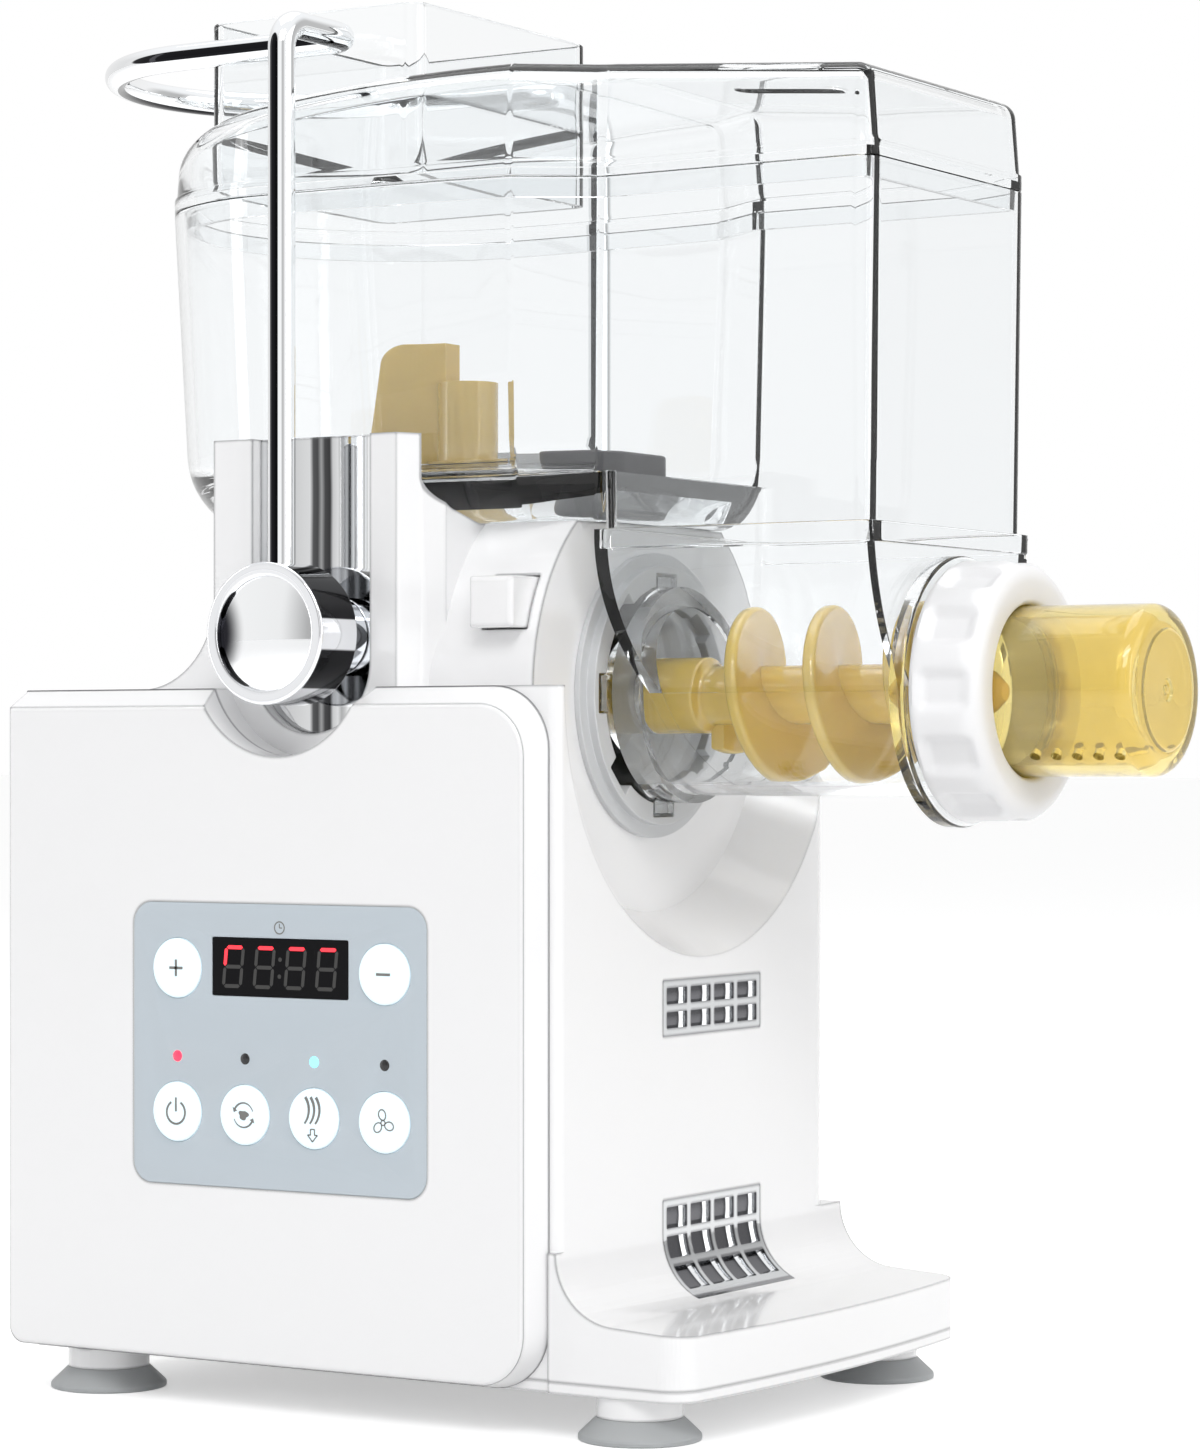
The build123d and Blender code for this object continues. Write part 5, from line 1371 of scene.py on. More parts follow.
@dataclass(frozen=True)
class ControlCover:
    """Moulded cover of the control side: wide bevels, flat face and a round notch under the knob."""

    panel: ControlPanel = ControlPanel()
    root_y: float = -63.0
    top: float = 163.0
    right: float = -2.0
    low: float = 9.7
    left: float = -147.6
    corner: float = 14.0
    small_corner: float = 4.0
    face_edge: float = 0.8
    bevel_top: float = 4.2
    bevel_right: float = 2.7
    bevel_low: float = 1.3
    notch_z: float = 171.4
    notch_radius: float = 24.0
    pocket_play: float = 0.1

    def ring(self, share: float, y: float, inset: float = 0.0) -> Array:
        """Outline at a depth of the bevel, from 0 at the root to 1 at the face.

        The notch is a circle arc between the two places where it meets the top edge.

        Args:
            share: Place on the bevel.
            y: Y of the ring.
            inset: Further distance inwards.

        Returns:
            Points of shape (count, 3).
        """
        top, right = self.top - self.bevel_top * share - inset, self.right - self.bevel_right * share - inset
        low, left = self.low + self.bevel_low * share + inset, self.left + inset
        corner = self.corner - self.bevel_right * share
        reach = math.sqrt(self.notch_radius ** 2 - (top - self.notch_z) ** 2)
        half = math.degrees(math.atan2(reach, self.notch_z - top))
        notch = arc_points(BAIL_X, self.notch_z, self.notch_radius, -90 - half, -90 + half, 40)
        body = rounded([(right, top, corner), (right, low, corner), (left, low, self.small_corner),
                        (left, top, 0.3)], 12)
        return lifted(np.concatenate([notch, body]), y, Facing.SIDE)

    def build(self) -> None:
        """Makes the cover and sinks the pocket of the panel into it."""
        depth = self.root_y - COVER_Y
        rings = [self.ring(0, self.root_y), self.ring(0, self.root_y - 0.4)]
        rings += [self.ring(share, self.root_y - depth * share) for share in np.linspace(0.02, 0.94, 8)]
        rings += [self.ring(1.0, COVER_Y + sunk, inset) for inset, sunk in rounding(self.face_edge)[::-1][1:]]
        cover = skin("cover_shell", np.array(rings))
        width, height = (side + self.pocket_play for side in self.panel.size)
        outline = box_outline(self.panel.x, self.panel.z, width, height, self.panel.corner, 10)
        cut(cover, slab("hole", outline, COVER_Y - 1.5, COVER_Y + 2.2, Facing.SIDE, 0.01, 0.01))
        dress(weighted(cover), "white_gloss", "machine", "control_cover")


# ============================================================ clear hopper and lid
@dataclass(frozen=True)
class HopperForm:
    """Plans and leans of drum and throat, which the hopper, the lid and the chamber share."""

    wall: float = 2.4
    top: float = 276.0
    deck_z: float = 200.5
    floor_z: float = 211.0
    throat_low: float = 198.2
    throat_rear_x: float = -6.6
    throat_front_x: float = 63.4
    throat_half: float = 38.0
    throat_corner: float = 5.0
    least_corner: float = 1.4
    drum_x: float = -86.0
    drum_radius: float = 53.0
    drum_edge: float = 18.0
    drum_taper: float = 4.0
    shoulder_x: float = -22.0
    shoulder_y: float = 49.5
    shoulder_corner: float = 3.5
    step_x: float = -4.6
    step_corner: float = 3.0
    side_bulge: float = 0.9

    @staticmethod
    def whole(half: Array) -> Array:
        """Closed plan from its far half, which starts on the symmetry line behind."""
        return np.concatenate([half, (half[1:] * (1, -1))[::-1]])

    def drum_run(self, inset: float) -> tuple[Array, Array]:
        """Far side of the drum from its rearmost point, a quarter circle and a flat arc, and its shoulder.

        Args:
            inset: Distance inwards.

        Returns:
            The points of the side, and the shoulder.
        """
        radius = self.drum_radius - inset
        turn = np.radians(np.linspace(180, 90, 44))
        rear = np.stack([self.drum_x + radius * np.cos(turn), radius * np.sin(turn)], 1)
        shoulder = np.array((self.shoulder_x - inset / 3, self.shoulder_y - inset))
        bend = ((self.drum_x + shoulder[0]) / 2, (radius + shoulder[1]) / 2 + self.side_bulge)
        return np.concatenate([rear, arc_through(rear[-1], bend, shoulder, 12)[1:-1]]), shoulder

    def plan(self, drum: float, throat: float) -> Array:
        """Plan of drum and throat together, each drawn in by its own amount.

        Args:
            drum: Distance inwards of the drum.
            throat: Distance inwards of the throat.

        Returns:
            The closed plan.
        """
        run, shoulder = self.drum_run(drum)
        step = np.array((self.step_x - drum / 3, self.throat_half - throat))
        front = (self.throat_front_x - throat, self.throat_half - throat)
        corner = max(self.throat_corner - throat, self.least_corner)
        return self.whole(np.concatenate([
            run, turned_corner(run[-1], shoulder, step, self.shoulder_corner),
            turned_corner(shoulder, step, front, self.step_corner),
            turned_corner(step, front, (front[0], 0.0), corner, 10)]))

    def drum_plan(self, inset: float) -> Array:
        """Plan of the drum alone, closed straight across in front.

        Args:
            inset: Distance inwards.

        Returns:
            The closed plan.
        """
        run, shoulder = self.drum_run(inset)
        step = np.array((self.step_x - inset / 3, self.throat_half - inset / 2))
        return self.whole(np.concatenate([run, turned_corner(run[-1], shoulder, step, self.shoulder_corner),
                                          turned_corner(shoulder, step, (step[0], 0.0), 2.0)]))

    def throat_plan(self, inset: float) -> Array:
        """Plan of the straight section over the chamber.

        Args:
            inset: Distance inwards.

        Returns:
            The closed plan.
        """
        half, rear, front = self.throat_half - inset, self.throat_rear_x + inset, self.throat_front_x - inset
        corner = max(self.throat_corner - inset, self.least_corner)
        return plan_box(rear, front, -half, half, corner, 8)

    def drum_lean(self, z: float) -> float:
        """Inward lean of the drum wall: a straight taper, and a quarter circle at its underside.

        Args:
            z: Height.

        Returns:
            The lean in millimetres.
        """
        rise = min(z - self.deck_z, self.drum_edge)
        taper = self.drum_taper * (self.top - z) / (self.top - self.deck_z)
        return taper + self.drum_edge - math.sqrt(self.drum_edge ** 2 - (self.drum_edge - rise) ** 2)

    def throat_lean(self, z: float) -> float:
        """Inward lean of the throat wall, a straight taper of one millimetre."""
        return (self.top - z) / (self.top - self.throat_low)


FORM = HopperForm()


@dataclass(frozen=True)
class Hopper:
    """Clear hopper: a drum with a raised floor, open in front into the throat over the chamber."""

    floor_curl: tuple[tuple[float, float], ...] = (
        (0.0, 3.4), (0.5, 1.9), (1.4, 0.9), (3.0, 0.3), (5.0, 0.0), (7.5, 0.0))
    seat_radius: float = 12.4
    bore_radius: float = 10.0

    def build(self) -> None:
        """Joins drum, underside and throat, hollows them out and adds the seat of the kneading shaft."""
        deck, floor, top, wall = FORM.deck_z, FORM.floor_z, FORM.top, FORM.wall
        levels = [floor, 212.5, 214.5, 216.5, 218.5, top]
        outer = stacked("hopper_shell", [(FORM.plan(FORM.drum_lean(z), FORM.throat_lean(z)), z) for z in levels])
        heights = deck + FORM.drum_edge * (1 - np.cos(np.linspace(0.0, 1.14, 9)))
        under = stacked("under", [(FORM.drum_plan(FORM.drum_lean(z)), z) for z in heights]
                        + [(FORM.drum_plan(8.0), floor + 1)])
        throat = stacked("throat", [(FORM.throat_plan(FORM.throat_lean(z) + lift), z)
                                    for z, lift in ((FORM.throat_low, 0.0), (floor, 0.0), (floor + 1, 0.5))])
        joined(outer, under, throat)
        curl = [(floor + rise, bend) for rise, bend in self.floor_curl] + [(top + 1, 0.0)]
        room = stacked("room", [(FORM.plan(wall + FORM.drum_lean(z) + bend, wall + FORM.throat_lean(min(z, top))), z)
                                for z, bend in curl])
        mouth = stacked("mouth", [(FORM.throat_plan(wall + FORM.throat_lean(z)), z)
                                  for z in (FORM.throat_low - 1, floor + 1.5)])
        pocket = stacked("pocket", [(FORM.drum_plan(25.4), deck - 1), (FORM.drum_plan(21.4), 208.0)])
        cut(outer, room, mouth, pocket)
        joined(outer, self.turned("seat", self.seat_radius, deck, floor))
        cut(outer, self.turned("bore", self.bore_radius, deck - 1, floor + 1))
        dress(softened(outer, 0.45), "clear_plastic", "machine", "hopper")

    @staticmethod
    def turned(name: str, radius: float, low: float, high: float) -> bpy.types.Object:
        """Cylinder round the kneading shaft."""
        return skin(name, along_z(spun_rings([(radius, low), (radius, high)], 48), KNEAD_X, 0))


@dataclass(frozen=True)
class Lid:
    """Clear lid: a band, a crowned top, a skirt, the filling chute and the pouring slot."""

    low: float = FORM.top + 0.2
    band_top: float = 280.0
    crown_top: float = 302.2
    crown_rise: tuple[float, float] = (9.5, 15.3)
    crown_lean: float = 1.5
    edge_rear: float = 7.0
    edge_front: float = 3.2
    chute_rear: float = -115.0
    chute_front: float = -54.5
    chute_half: float = 37.0
    chute_top: float = 320.3
    chute_wall: float = 2.0
    slot: tuple[float, float, float, float] = (11.0, 39.0, -7.5, -0.5)

    def crown_z(self, x: Array) -> Array:
        """Height of the outer crown at x, on a circle arc from the rear over the top to the front.

        Args:
            x: Places along X.

        Returns:
            Height at each place.
        """
        rear, front = ((-144.0, self.band_top + self.crown_rise[0]), (68.4, self.band_top + self.crown_rise[1]))
        crown = arc_through(rear, (-15.0, self.crown_top), front, 400)
        return np.interp(x, crown[:, 0], crown[:, 1])

    def crowned_body(self, name: str, low: float, inset: float,
                     band: Sequence[tuple[float, float]]) -> bpy.types.Object:
        """Leaning walls under the crowned top, with a round upper edge that widens to the rear.

        Args:
            name: Name of the piece.
            low: Height of its underside.
            inset: How far it is drawn in from the outside of the lid, sideways and down.
            band: (extra inset, height) of the rings below the leaning wall.

        Returns:
            A closed body.
        """
        base = FORM.plan(inset, inset)
        inward = drawn_in(base, 1.0) - base
        edge = np.interp(base[:, 0], (-139.0, 63.0), (self.edge_rear, self.edge_front)) - inset * 0.7
        rings = [lifted(base + inward * extra, z, Facing.PLAN) for extra, z in band]
        for turn in np.linspace(0, math.pi / 2, 9):
            plan = base + inward * (band[-1][0] + edge * (1 - math.cos(turn)))[:, None]
            top = self.crown_z(plan[:, 0]) - inset - edge * (1 - math.sin(turn))
            share = (top - self.band_top) / (self.crown_top - self.band_top)
            plan = plan + inward * (self.crown_lean * share)[:, None]
            rings.append(np.stack([plan[:, 0], plan[:, 1], np.maximum(top, low + 0.5)], 1))
        stack = np.array(rings)
        count, points = stack.shape[:2]
        faces = quads(count, points).tolist()
        for start in (0, (count - 1) * points):
            faces.append([start, start + 1, start + points - 1])
            faces += [[start + i, start + i + 1, start + points - i - 1, start + points - i]
                      for i in range(1, (points + 1) // 2 - 1)]
        return mesh_object(name, stack.reshape(-1, 3), faces)

    def build(self) -> None:
        """Joins shell, skirt and chute and hollows them out; the chute's foot stays inside the room."""
        low, wall = self.low, FORM.wall
        lid = self.crowned_body("lid_shell", low, 0.0, [
            (0.5, low), (0.15, low + 0.15), (0.0, low + 0.5), (0.0, 279.7), (0.12, 279.95), (0.5, 280.0),
            (0.55, 280.3)])
        skirt = stacked("skirt", [(FORM.plan(3.0, 3.0), 272.0), (FORM.plan(2.7, 2.7), 277.4)])
        plan = plan_box(self.chute_rear, self.chute_front, -self.chute_half, self.chute_half, 4.5, 8)
        chute = slab("chute", plan, 281.0, self.chute_top, Facing.PLAN, 0.2, 0.6)
        chute.modifiers.clear()
        joined(lid, skirt, chute)
        room = self.crowned_body("room", low + wall, wall,
                                 [(0.0, low + wall), (0.0, self.band_top), (0.5, self.band_top + 1)])
        cut(room, stacked("funnel", [(plan, z) for z in (281.0, 303.0)]))
        opening = stacked("opening", [(FORM.plan(4.7, 4.7), z) for z in (271.0, 280.5)])
        shaft = stacked("shaft", [(drawn_in(plan, self.chute_wall), z) for z in (279.0, 322.0)])
        outline = plan_box(*self.slot, 3.4, 8)
        cut(lid, room, opening, shaft, stacked("slot", [(outline, z) for z in (280.0, 306.0)]))
        dress(softened(lid, 0.35), "clear_plastic", "lid", "lid")


# ============================================================ extrusion chamber, nut, die and screw
@dataclass(frozen=True)
class Chamber:
    """Clear chamber: rim, funnel, tube, spigot with lugs, flange and neck."""

    radius: float = 23.2
    spigot_radius: float = 23.1
    top: float = 198.0
    top_half: float = 37.5
    waist_half: float = 31.5
    waist_z: float = 175.0
    rear: float = -14.5
    rim_half: float = 39.0
    rim_low: float = 193.5
    seat_radius: float = 24.9
    flange_radius: float = 30.0
    flange_front: float = 66.7
    neck_radius: float = 24.0
    neck_front: float = 79.0
    bore_radius: float = 20.7
    journal_radius: float = 9.05
    lugs: int = 4
    lug_half: float = 4.0

    def section(self, inset: float) -> Array:
        """Cross-section: two bent sides that run into the half circle of the screw tube.

        Args:
            inset: Distance inwards.

        Returns:
            Points of shape (count, 2).
        """
        tube_radius = self.radius - inset
        side = arc_through((self.top_half - inset, self.top + inset), (self.waist_half - inset, self.waist_z),
                           (tube_radius, AXIS_Z), 20)
        low = arc_through((tube_radius, AXIS_Z), (0.0, AXIS_Z - tube_radius), (-tube_radius, AXIS_Z), 40)
        return np.concatenate([side[:-1], low, (side[:-1] * (-1, 1))[::-1]])

    def block(self, name: str, inset: float) -> bpy.types.Object:
        """Funnel and tube up to the throat's front, cut behind along the curved rear wall.

        Args:
            name: Name of the piece.
            inset: Distance inwards.

        Returns:
            The new object.
        """
        front = FORM.throat_front_x - inset
        body = skin(name, np.array([lifted(self.section(inset), x, Facing.FRONT)
                                    for x in (FORM.throat_rear_x - 1, front)]))
        rear = arc_through((FORM.throat_rear_x + inset, 199.0), (-1.0 + inset, 162.0), (14.0 + inset, 137.5), 28)
        side = np.concatenate([rear, [(front + 1, 137.5), (front + 1, 199.0)]])
        keep = skin("keep", np.array([lifted(side, y, Facing.SIDE) for y in (-40.0, 40.0)]))
        return combined(body, [keep], Boolean.SHARED)

    def lug(self, index: int) -> bpy.types.Object:
        """One bayonet lug: a small block turned about the axis by quarters.

        Args:
            index: Number of the lug.

        Returns:
            The new object.
        """
        outline = rounded([(-14.2, 23.9, 0.3), (-11.2, 23.9, 0.3), (-11.2, 27.5, 0.6), (-14.2, 27.5, 0.6)], 3)
        rings = np.array([lifted(outline, y, Facing.SIDE) for y in (-self.lug_half, self.lug_half)])
        turn = 2 * math.pi / self.lugs * index
        y, z = rings[..., 1], rings[..., 2]
        return skin("lug", np.stack([rings[..., 0], y * math.cos(turn) - z * math.sin(turn),
                                     y * math.sin(turn) + z * math.cos(turn) + AXIS_Z], -1))

    def build(self) -> None:
        """Joins the solid outside, then cuts the room, the mouth, the bore and the journal's hole."""
        rear, front, back, half = self.rear, FORM.throat_front_x, FORM.throat_rear_x, self.rim_half
        body = self.block("chamber_shell", 0.0)
        outline = plan_box(back, front + 1, -half, half, 5, 8)
        rim = slab("rim", outline, self.rim_low, self.top, Facing.PLAN, 0.5, 0.4)
        rim.modifiers.clear()
        joined(body, rim, round_bar("spigot", rear + 1, 14.0, self.spigot_radius),
               round_bar("seat", rear, -2.63, self.seat_radius), *(self.lug(index) for index in range(self.lugs)),
               round_bar("flange", front, self.flange_front, self.flange_radius, 0.8),
               round_bar("neck", front - 1, self.neck_front, self.neck_radius, 0.5))
        outline = plan_box(-4.2, 61, -35.1, 35.1, 2, 6)
        mouth = stacked("mouth", [(outline, z) for z in (self.rim_low - 0.1, self.top + 1)])
        cut(body, self.block("room", FORM.wall), mouth, round_bar("bore", rear + 3, 80.0, self.bore_radius),
            round_bar("journal", rear - 1, 60.0, self.journal_radius))
        dress(softened(body, 0.35), "clear_plastic", "chamber", "extrusion_chamber")


@dataclass(frozen=True)
class RingNut:
    """Grip nut: a turned ring whose outside dips twelve times between soft pads."""

    rear: float = 67.0
    front: float = 83.4
    radius: float = 29.0
    bore: float = 19.0
    socket: float = 24.05
    front_round: float = 5.0
    pads: int = 12
    dip: float = 2.0

    def profile(self) -> Array:
        """(x, radius) round the section, from the socket over the outside to the bore.

        Returns:
            The points of the section.
        """
        rear, front, radius, bend = self.rear, self.front, self.radius, self.front_round
        points = [(rear, self.socket), (rear, radius - 1.6), (rear + 0.4, radius - 0.5), (rear + 1.4, radius)]
        points += [(x, radius) for x in np.linspace(rear + 2.4, front - bend - 0.6, 12)]
        points += [(front - bend + bend * math.sin(a), radius - bend + bend * math.cos(a))
                   for a in np.linspace(0, math.pi / 2, 9)]
        points += [(front - 0.15, 20.2), (front - 0.8, 19.3), (front - 1.6, self.bore), (front - 2.4, self.bore),
                   (front - 2.4, self.socket)]
        return np.array(points)

    def build(self) -> None:
        """Radius = profile - dip * smooth wave round the axis * smooth window along it."""
        profile = self.profile()
        turn = np.linspace(0, 2 * math.pi, self.pads * 24, endpoint=False)
        wave = smooth((0.5 + 0.5 * np.cos(self.pads * turn)) ** 1.5 * 1.5)
        place = (profile[:, 0] - self.rear) / (self.front - self.rear)
        window = smooth(np.minimum((place - 0.10) / 0.14, (0.92 - place) / 0.20)) * (profile[:, 1] > 22.5)
        reach = profile[None, :, 1] - self.dip * wave[:, None] * window[None, :]
        rings = np.stack([np.broadcast_to(profile[None, :, 0], reach.shape), reach * np.sin(turn)[:, None],
                          AXIS_Z + reach * np.cos(turn)[:, None]], -1)
        dress(weighted(skin("nut_grip", rings, Cap.LOOP, 40)), "grip_white", "nut", "ring_nut")


@dataclass(frozen=True)
class Die:
    """Extrusion die: flanged thimble with a rounded tip, a raised end disc and rows of small outlets."""

    front: float = DIE_FRONT_X
    rear: float = 79.0
    radius: float = 18.7
    inner: float = 16.3
    flange_radius: float = 23.0
    tip_round: float = 3.4
    inner_round: float = 2.4
    row_angles: tuple[float, ...] = (-40.0, 0.7, 40.0)
    outlets_per_row: int = 5
    outlet_pitch: float = 5.0
    outlet_radius: float = 1.1

    def profile(self) -> list[tuple[float, float]]:
        """(radius, x) round the section: outside, end disc, and back along the inside.

        Returns:
            The points of the section.
        """
        front, radius, inner, rear = self.front, self.radius, self.inner, self.rear
        edge = np.linspace(0, math.pi / 2, 10)
        points = [(inner, rear), (self.flange_radius, rear), (self.flange_radius, rear + 1.3),
                  (self.flange_radius - 0.3, rear + 1.6), (radius + 0.5, rear + 1.6), (radius, rear + 2.2)]
        bend = self.tip_round
        points += [(radius - bend * (1 - math.cos(a)), front - 0.4 - bend + bend * math.sin(a)) for a in edge]
        points += [(13.4, front - 0.4), (13.0, front - 0.1), (12.5, front), (2.6, front - 0.3), (2.2, front - 0.9),
                   (1.2, front - 0.9), (0.9, front - 0.5), (AXIS_HOLE, front - 0.45)]
        bend, floor = self.inner_round, front - 2.8
        points += [(AXIS_HOLE, floor), (inner - bend, floor)]
        return points + [(inner - bend + bend * math.sin(a), floor - bend + bend * math.cos(a)) for a in edge[1:]]

    def drill(self, angle: float, index: int) -> bpy.types.Object:
        """Cutter of one outlet: it points down, leans sideways by the angle and widens outside.

        Args:
            angle: Lean in degrees.
            index: Number in its row, from the tip.

        Returns:
            The new object.
        """
        radius, turn = self.outlet_radius, math.radians(angle)
        drill = spun_rings([(radius, 13.0), (radius, 18.0), (radius + 0.25, 19.2)], 16)
        y, z = drill[..., 0], -drill[..., 2]
        return skin("drill", np.stack([self.front - 6.0 - self.outlet_pitch * index + drill[..., 1],
                                       y * math.cos(turn) - z * math.sin(turn),
                                       AXIS_Z + y * math.sin(turn) + z * math.cos(turn)], -1))

    def build(self) -> None:
        """Turns the thimble and drills its outlets."""
        die = skin("die_shell", along_x(spun_rings(self.profile(), 128)), Cap.LOOP)
        for angle in self.row_angles:
            for index in range(self.outlets_per_row):
                cut(die, self.drill(angle, index))
        dress(softened(die, 0.0), "amber_clear", "chamber", "extrusion_die")


@dataclass(frozen=True)
class FeedScrew:
    """Feed screw: journal with its hexagonal socket, tapered core and one helical flight."""

    core: tuple[tuple[float, float], ...] = (
        (9.0, -14.5), (9.0, 1.6), (8.6, 2.0), (7.6, 2.6), (7.0, 3.6), (7.0, 68.0), (6.6, 70.5), (4.2, 74.5),
        (2.0, 76.8), (1.0, 77.0))
    socket_half: float = 5.6
    socket_end: float = -5.2
    root: float = 6.4
    reach: float = 20.3
    thick: float = 3.2
    pitch: float = 20.0
    length: float = 59.8
    start: float = 2.0
    steps: int = 300

    def build(self) -> None:
        """Makes the core and its flight."""
        screw = skin("screw_core", along_x(spun_rings(self.core, 64)))
        corner = self.socket_half / math.cos(math.pi / 6)
        turn = np.radians(np.arange(0, 360, 60))
        hexagon = np.stack([corner * np.cos(turn), AXIS_Z + corner * np.sin(turn)], 1)
        rear = self.core[0][1] - 1
        cut(screw, skin("socket", np.array([lifted(hexagon, x, Facing.FRONT) for x in (rear, self.socket_end)])))
        dress(softened(screw, 0.3), "amber_plastic", "screw", "auger")
        self.make_flight()

    def make_flight(self) -> None:
        """Section carried along a helix: x grows by the pitch each turn; both ends run out."""
        root, tip, thick = self.root, self.reach, self.thick
        section = rounded([(0.0, root, 0.1), (thick, root, 0.1), (thick, tip, 1.2), (0.0, tip, 1.2)], 4)
        turn = np.linspace(0, 2 * math.pi * self.length / self.pitch, self.steps)
        rise = np.linspace(0, 8, self.steps)
        share = np.minimum(1.0, 0.45 + rise) * np.minimum(1.0, 0.45 + rise[::-1])
        radius = root + (section[None, :, 1] - root) * share[:, None]
        x = self.start + (turn * self.pitch / (2 * math.pi))[:, None] + section[None, :, 0]
        rings = np.stack([x, radius * np.sin(turn)[:, None], AXIS_Z - radius * np.cos(turn)[:, None]], -1)
        dress(weighted(skin("screw_flight", rings, Cap.ENDS, 40)), "amber_plastic", "screw")


# ============================================================ carrying bail
@dataclass(frozen=True)
class Bail:
    """Bright carrying bail: two legs, cross-pieces, a rearward loop and two knobs with domed caps."""

    top: float = 312.3
    leg_y: float = 68.0
    leg_foot: float = BAIL_Z + 5.5
    bend: float = 6.0
    loop_back: float = 48.4
    loop_radius: float = 41.0
    bar_radius: float = 3.1
    knob_root: float = 61.0
    knob_face: float = 75.0
    knob_radius: float = 16.0
    cap_radius: float = 12.75
    cap_bulge: float = 1.1

    def build(self) -> None:
        """Makes the bar and, on either side, the knob and its cap."""
        dress(tube("bail_bar", self.run(), self.bar_radius), "chrome_bar", "bail", "bail_rod")
        for side in Side:
            self.make_cap(side)
            self.make_knob(side)

    def run(self) -> Array:
        """Middle line: up the near leg, inwards, round the loop's half circle, and down the far leg.

        Returns:
            Points of shape (count, 3).
        """
        x, y, z = np.eye(3)
        bend, top, rail = self.bend, self.top, BAIL_X - self.loop_back
        corner = np.array((BAIL_X, -self.leg_y, top))
        leg = np.array([(BAIL_X, -self.leg_y, level) for level in np.linspace(self.leg_foot, top - bend, 12)])
        upper = quarter(corner + y * bend - z * bend, -y * bend, z * bend)
        rearward = quarter(np.array((BAIL_X - bend, -self.loop_radius - bend, top)), x * bend, y * bend)
        turn = np.linspace(-math.pi / 2, 0, 40)[:-1]
        loop = np.stack([rail - self.loop_radius * np.cos(turn), self.loop_radius * np.sin(turn),
                         np.full_like(turn, top)], 1)
        near = np.concatenate([leg, upper, rearward, loop])
        run = np.concatenate([near, [(rail - self.loop_radius, 0.0, top)], (near * (1, -1, 1))[::-1]])
        gaps = np.linalg.norm(np.diff(run, axis=0), axis=1)
        return run[np.concatenate([[True], gaps > 1e-6])]

    def make_cap(self, side: Side) -> None:
        """Domed disc in the end of a knob: it bulges with the square of the radius.

        Args:
            side: Side of the machine.
        """
        crown, rear = self.knob_face - 0.15, self.knob_face - 1.35
        dome = [(max(AXIS_HOLE, self.cap_radius * share), crown - self.cap_bulge * share ** 2)
                for share in np.linspace(0, 1, 12)]
        profile = [*dome, (self.cap_radius, rear), (AXIS_HOLE, rear)]
        rings = along_y(spun_rings(profile, 72), BAIL_X, BAIL_Z, side)
        name = side.name.lower()
        dress(weighted(skin(f"knob_disc_{name}", rings)), "chrome_cap", "bail", f"knob_cap_{name}")

    def make_knob(self, side: Side) -> None:
        """Turned knob with round edges and a shallow recess for its cap.

        Args:
            side: Side of the machine.
        """
        root, face, radius = self.knob_root, self.knob_face, self.knob_radius
        turn = np.linspace(0, math.pi / 2, 6)
        inner = [(radius - 0.6 + 0.6 * math.sin(a), root + 0.6 - 0.6 * math.cos(a)) for a in turn]
        outer = [(radius - 0.7 + 0.7 * math.sin(a), face - 0.7 + 0.7 * math.cos(a)) for a in turn[::-1]]
        recess = [(13.5, face), (13.1, face - 0.15), (12.9, face - 0.5), (12.8, face - 1.4), (AXIS_HOLE, face - 1.4)]
        profile = [(AXIS_HOLE, root), *inner, *outer, *recess]
        name = side.name.lower()
        knob = skin(f"knob_body_{name}", along_y(spun_rings(profile, 96), BAIL_X, BAIL_Z, side))
        dress(weighted(knob), "chrome_knob", "bail", f"bail_knob_{name}")


# ============================================================ vents
@dataclass(frozen=True)
class VentLinings:
    """Linings behind the two grilles: in each window a plate with a bright slope at its right, the plate painted dark
    where it faces forwards, a painted dark reflection.
    """

    columns: int = 4
    left: float = -18.1
    pitch: float = 10.55
    depth: float = 1.6
    thickness: float = 0.4
    belly: float = 0.3
    slope: tuple[tuple[float, float], ...] = (
        (0.0, 0.0), (0.5, 0.0), (8.3, 0.0), (8.35, 0.04), (9.6, 0.55), (9.7, 0.0))
    plate_end: float = 8.32

    def build(self) -> None:
        """Lines the upper grille in the flat wall and the lower one in the foot of the column."""
        flat = np.stack([np.zeros(40), np.linspace(84.5, 96.8, 40)], 1)
        self.make_lining("upper_vent_lining", flat, (85.2, 90.65, 96.1))
        foot = arc_through((12.6, 26.2), (3.6, 30.6), (0.0, 40.0), 40)
        foot = np.concatenate([foot, [(0.0, z) for z in np.linspace(40.6, 47.2, 14)]])
        self.make_lining("lower_vent_lining", foot, (26.9, 33.5, 40.1, 46.6))

    def make_lining(self, name: str, run: Array, cells: Sequence[float]) -> None:
        """Carries the run of the wall across the grille, sunk by the slope's profile.

        Args:
            name: Name of the piece.
            run: (x, z) of the outer face of the wall, from below upwards.
            cells: Heights at which the windows end, from below upwards.
        """
        ahead = np.gradient(run, axis=0)
        ahead /= np.linalg.norm(ahead, axis=1, keepdims=True)
        out = np.stack([ahead[:, 1], -ahead[:, 0]], 1)
        belly = np.zeros(len(run))
        for low, high in zip(cells[:-1], cells[1:]):
            inside = (run[:, 1] >= low) & (run[:, 1] <= high)
            belly[inside] = self.belly * np.sin(math.pi * (run[inside, 1] - low) / (high - low))
        back = (run - out * (self.depth + self.thickness))[::-1]
        rings = []
        for column in range(self.columns):
            for y, raised in self.slope:
                front = run - out * (self.depth - raised - belly[:, None] * (y < self.plate_end))
                ring = np.concatenate([front, back])
                rings.append(lifted(ring, self.left + column * self.pitch + y, Facing.SIDE))
        dress(weighted(skin(name, np.array(rings), Cap.ENDS, 12)), "chrome_vent", "machine")


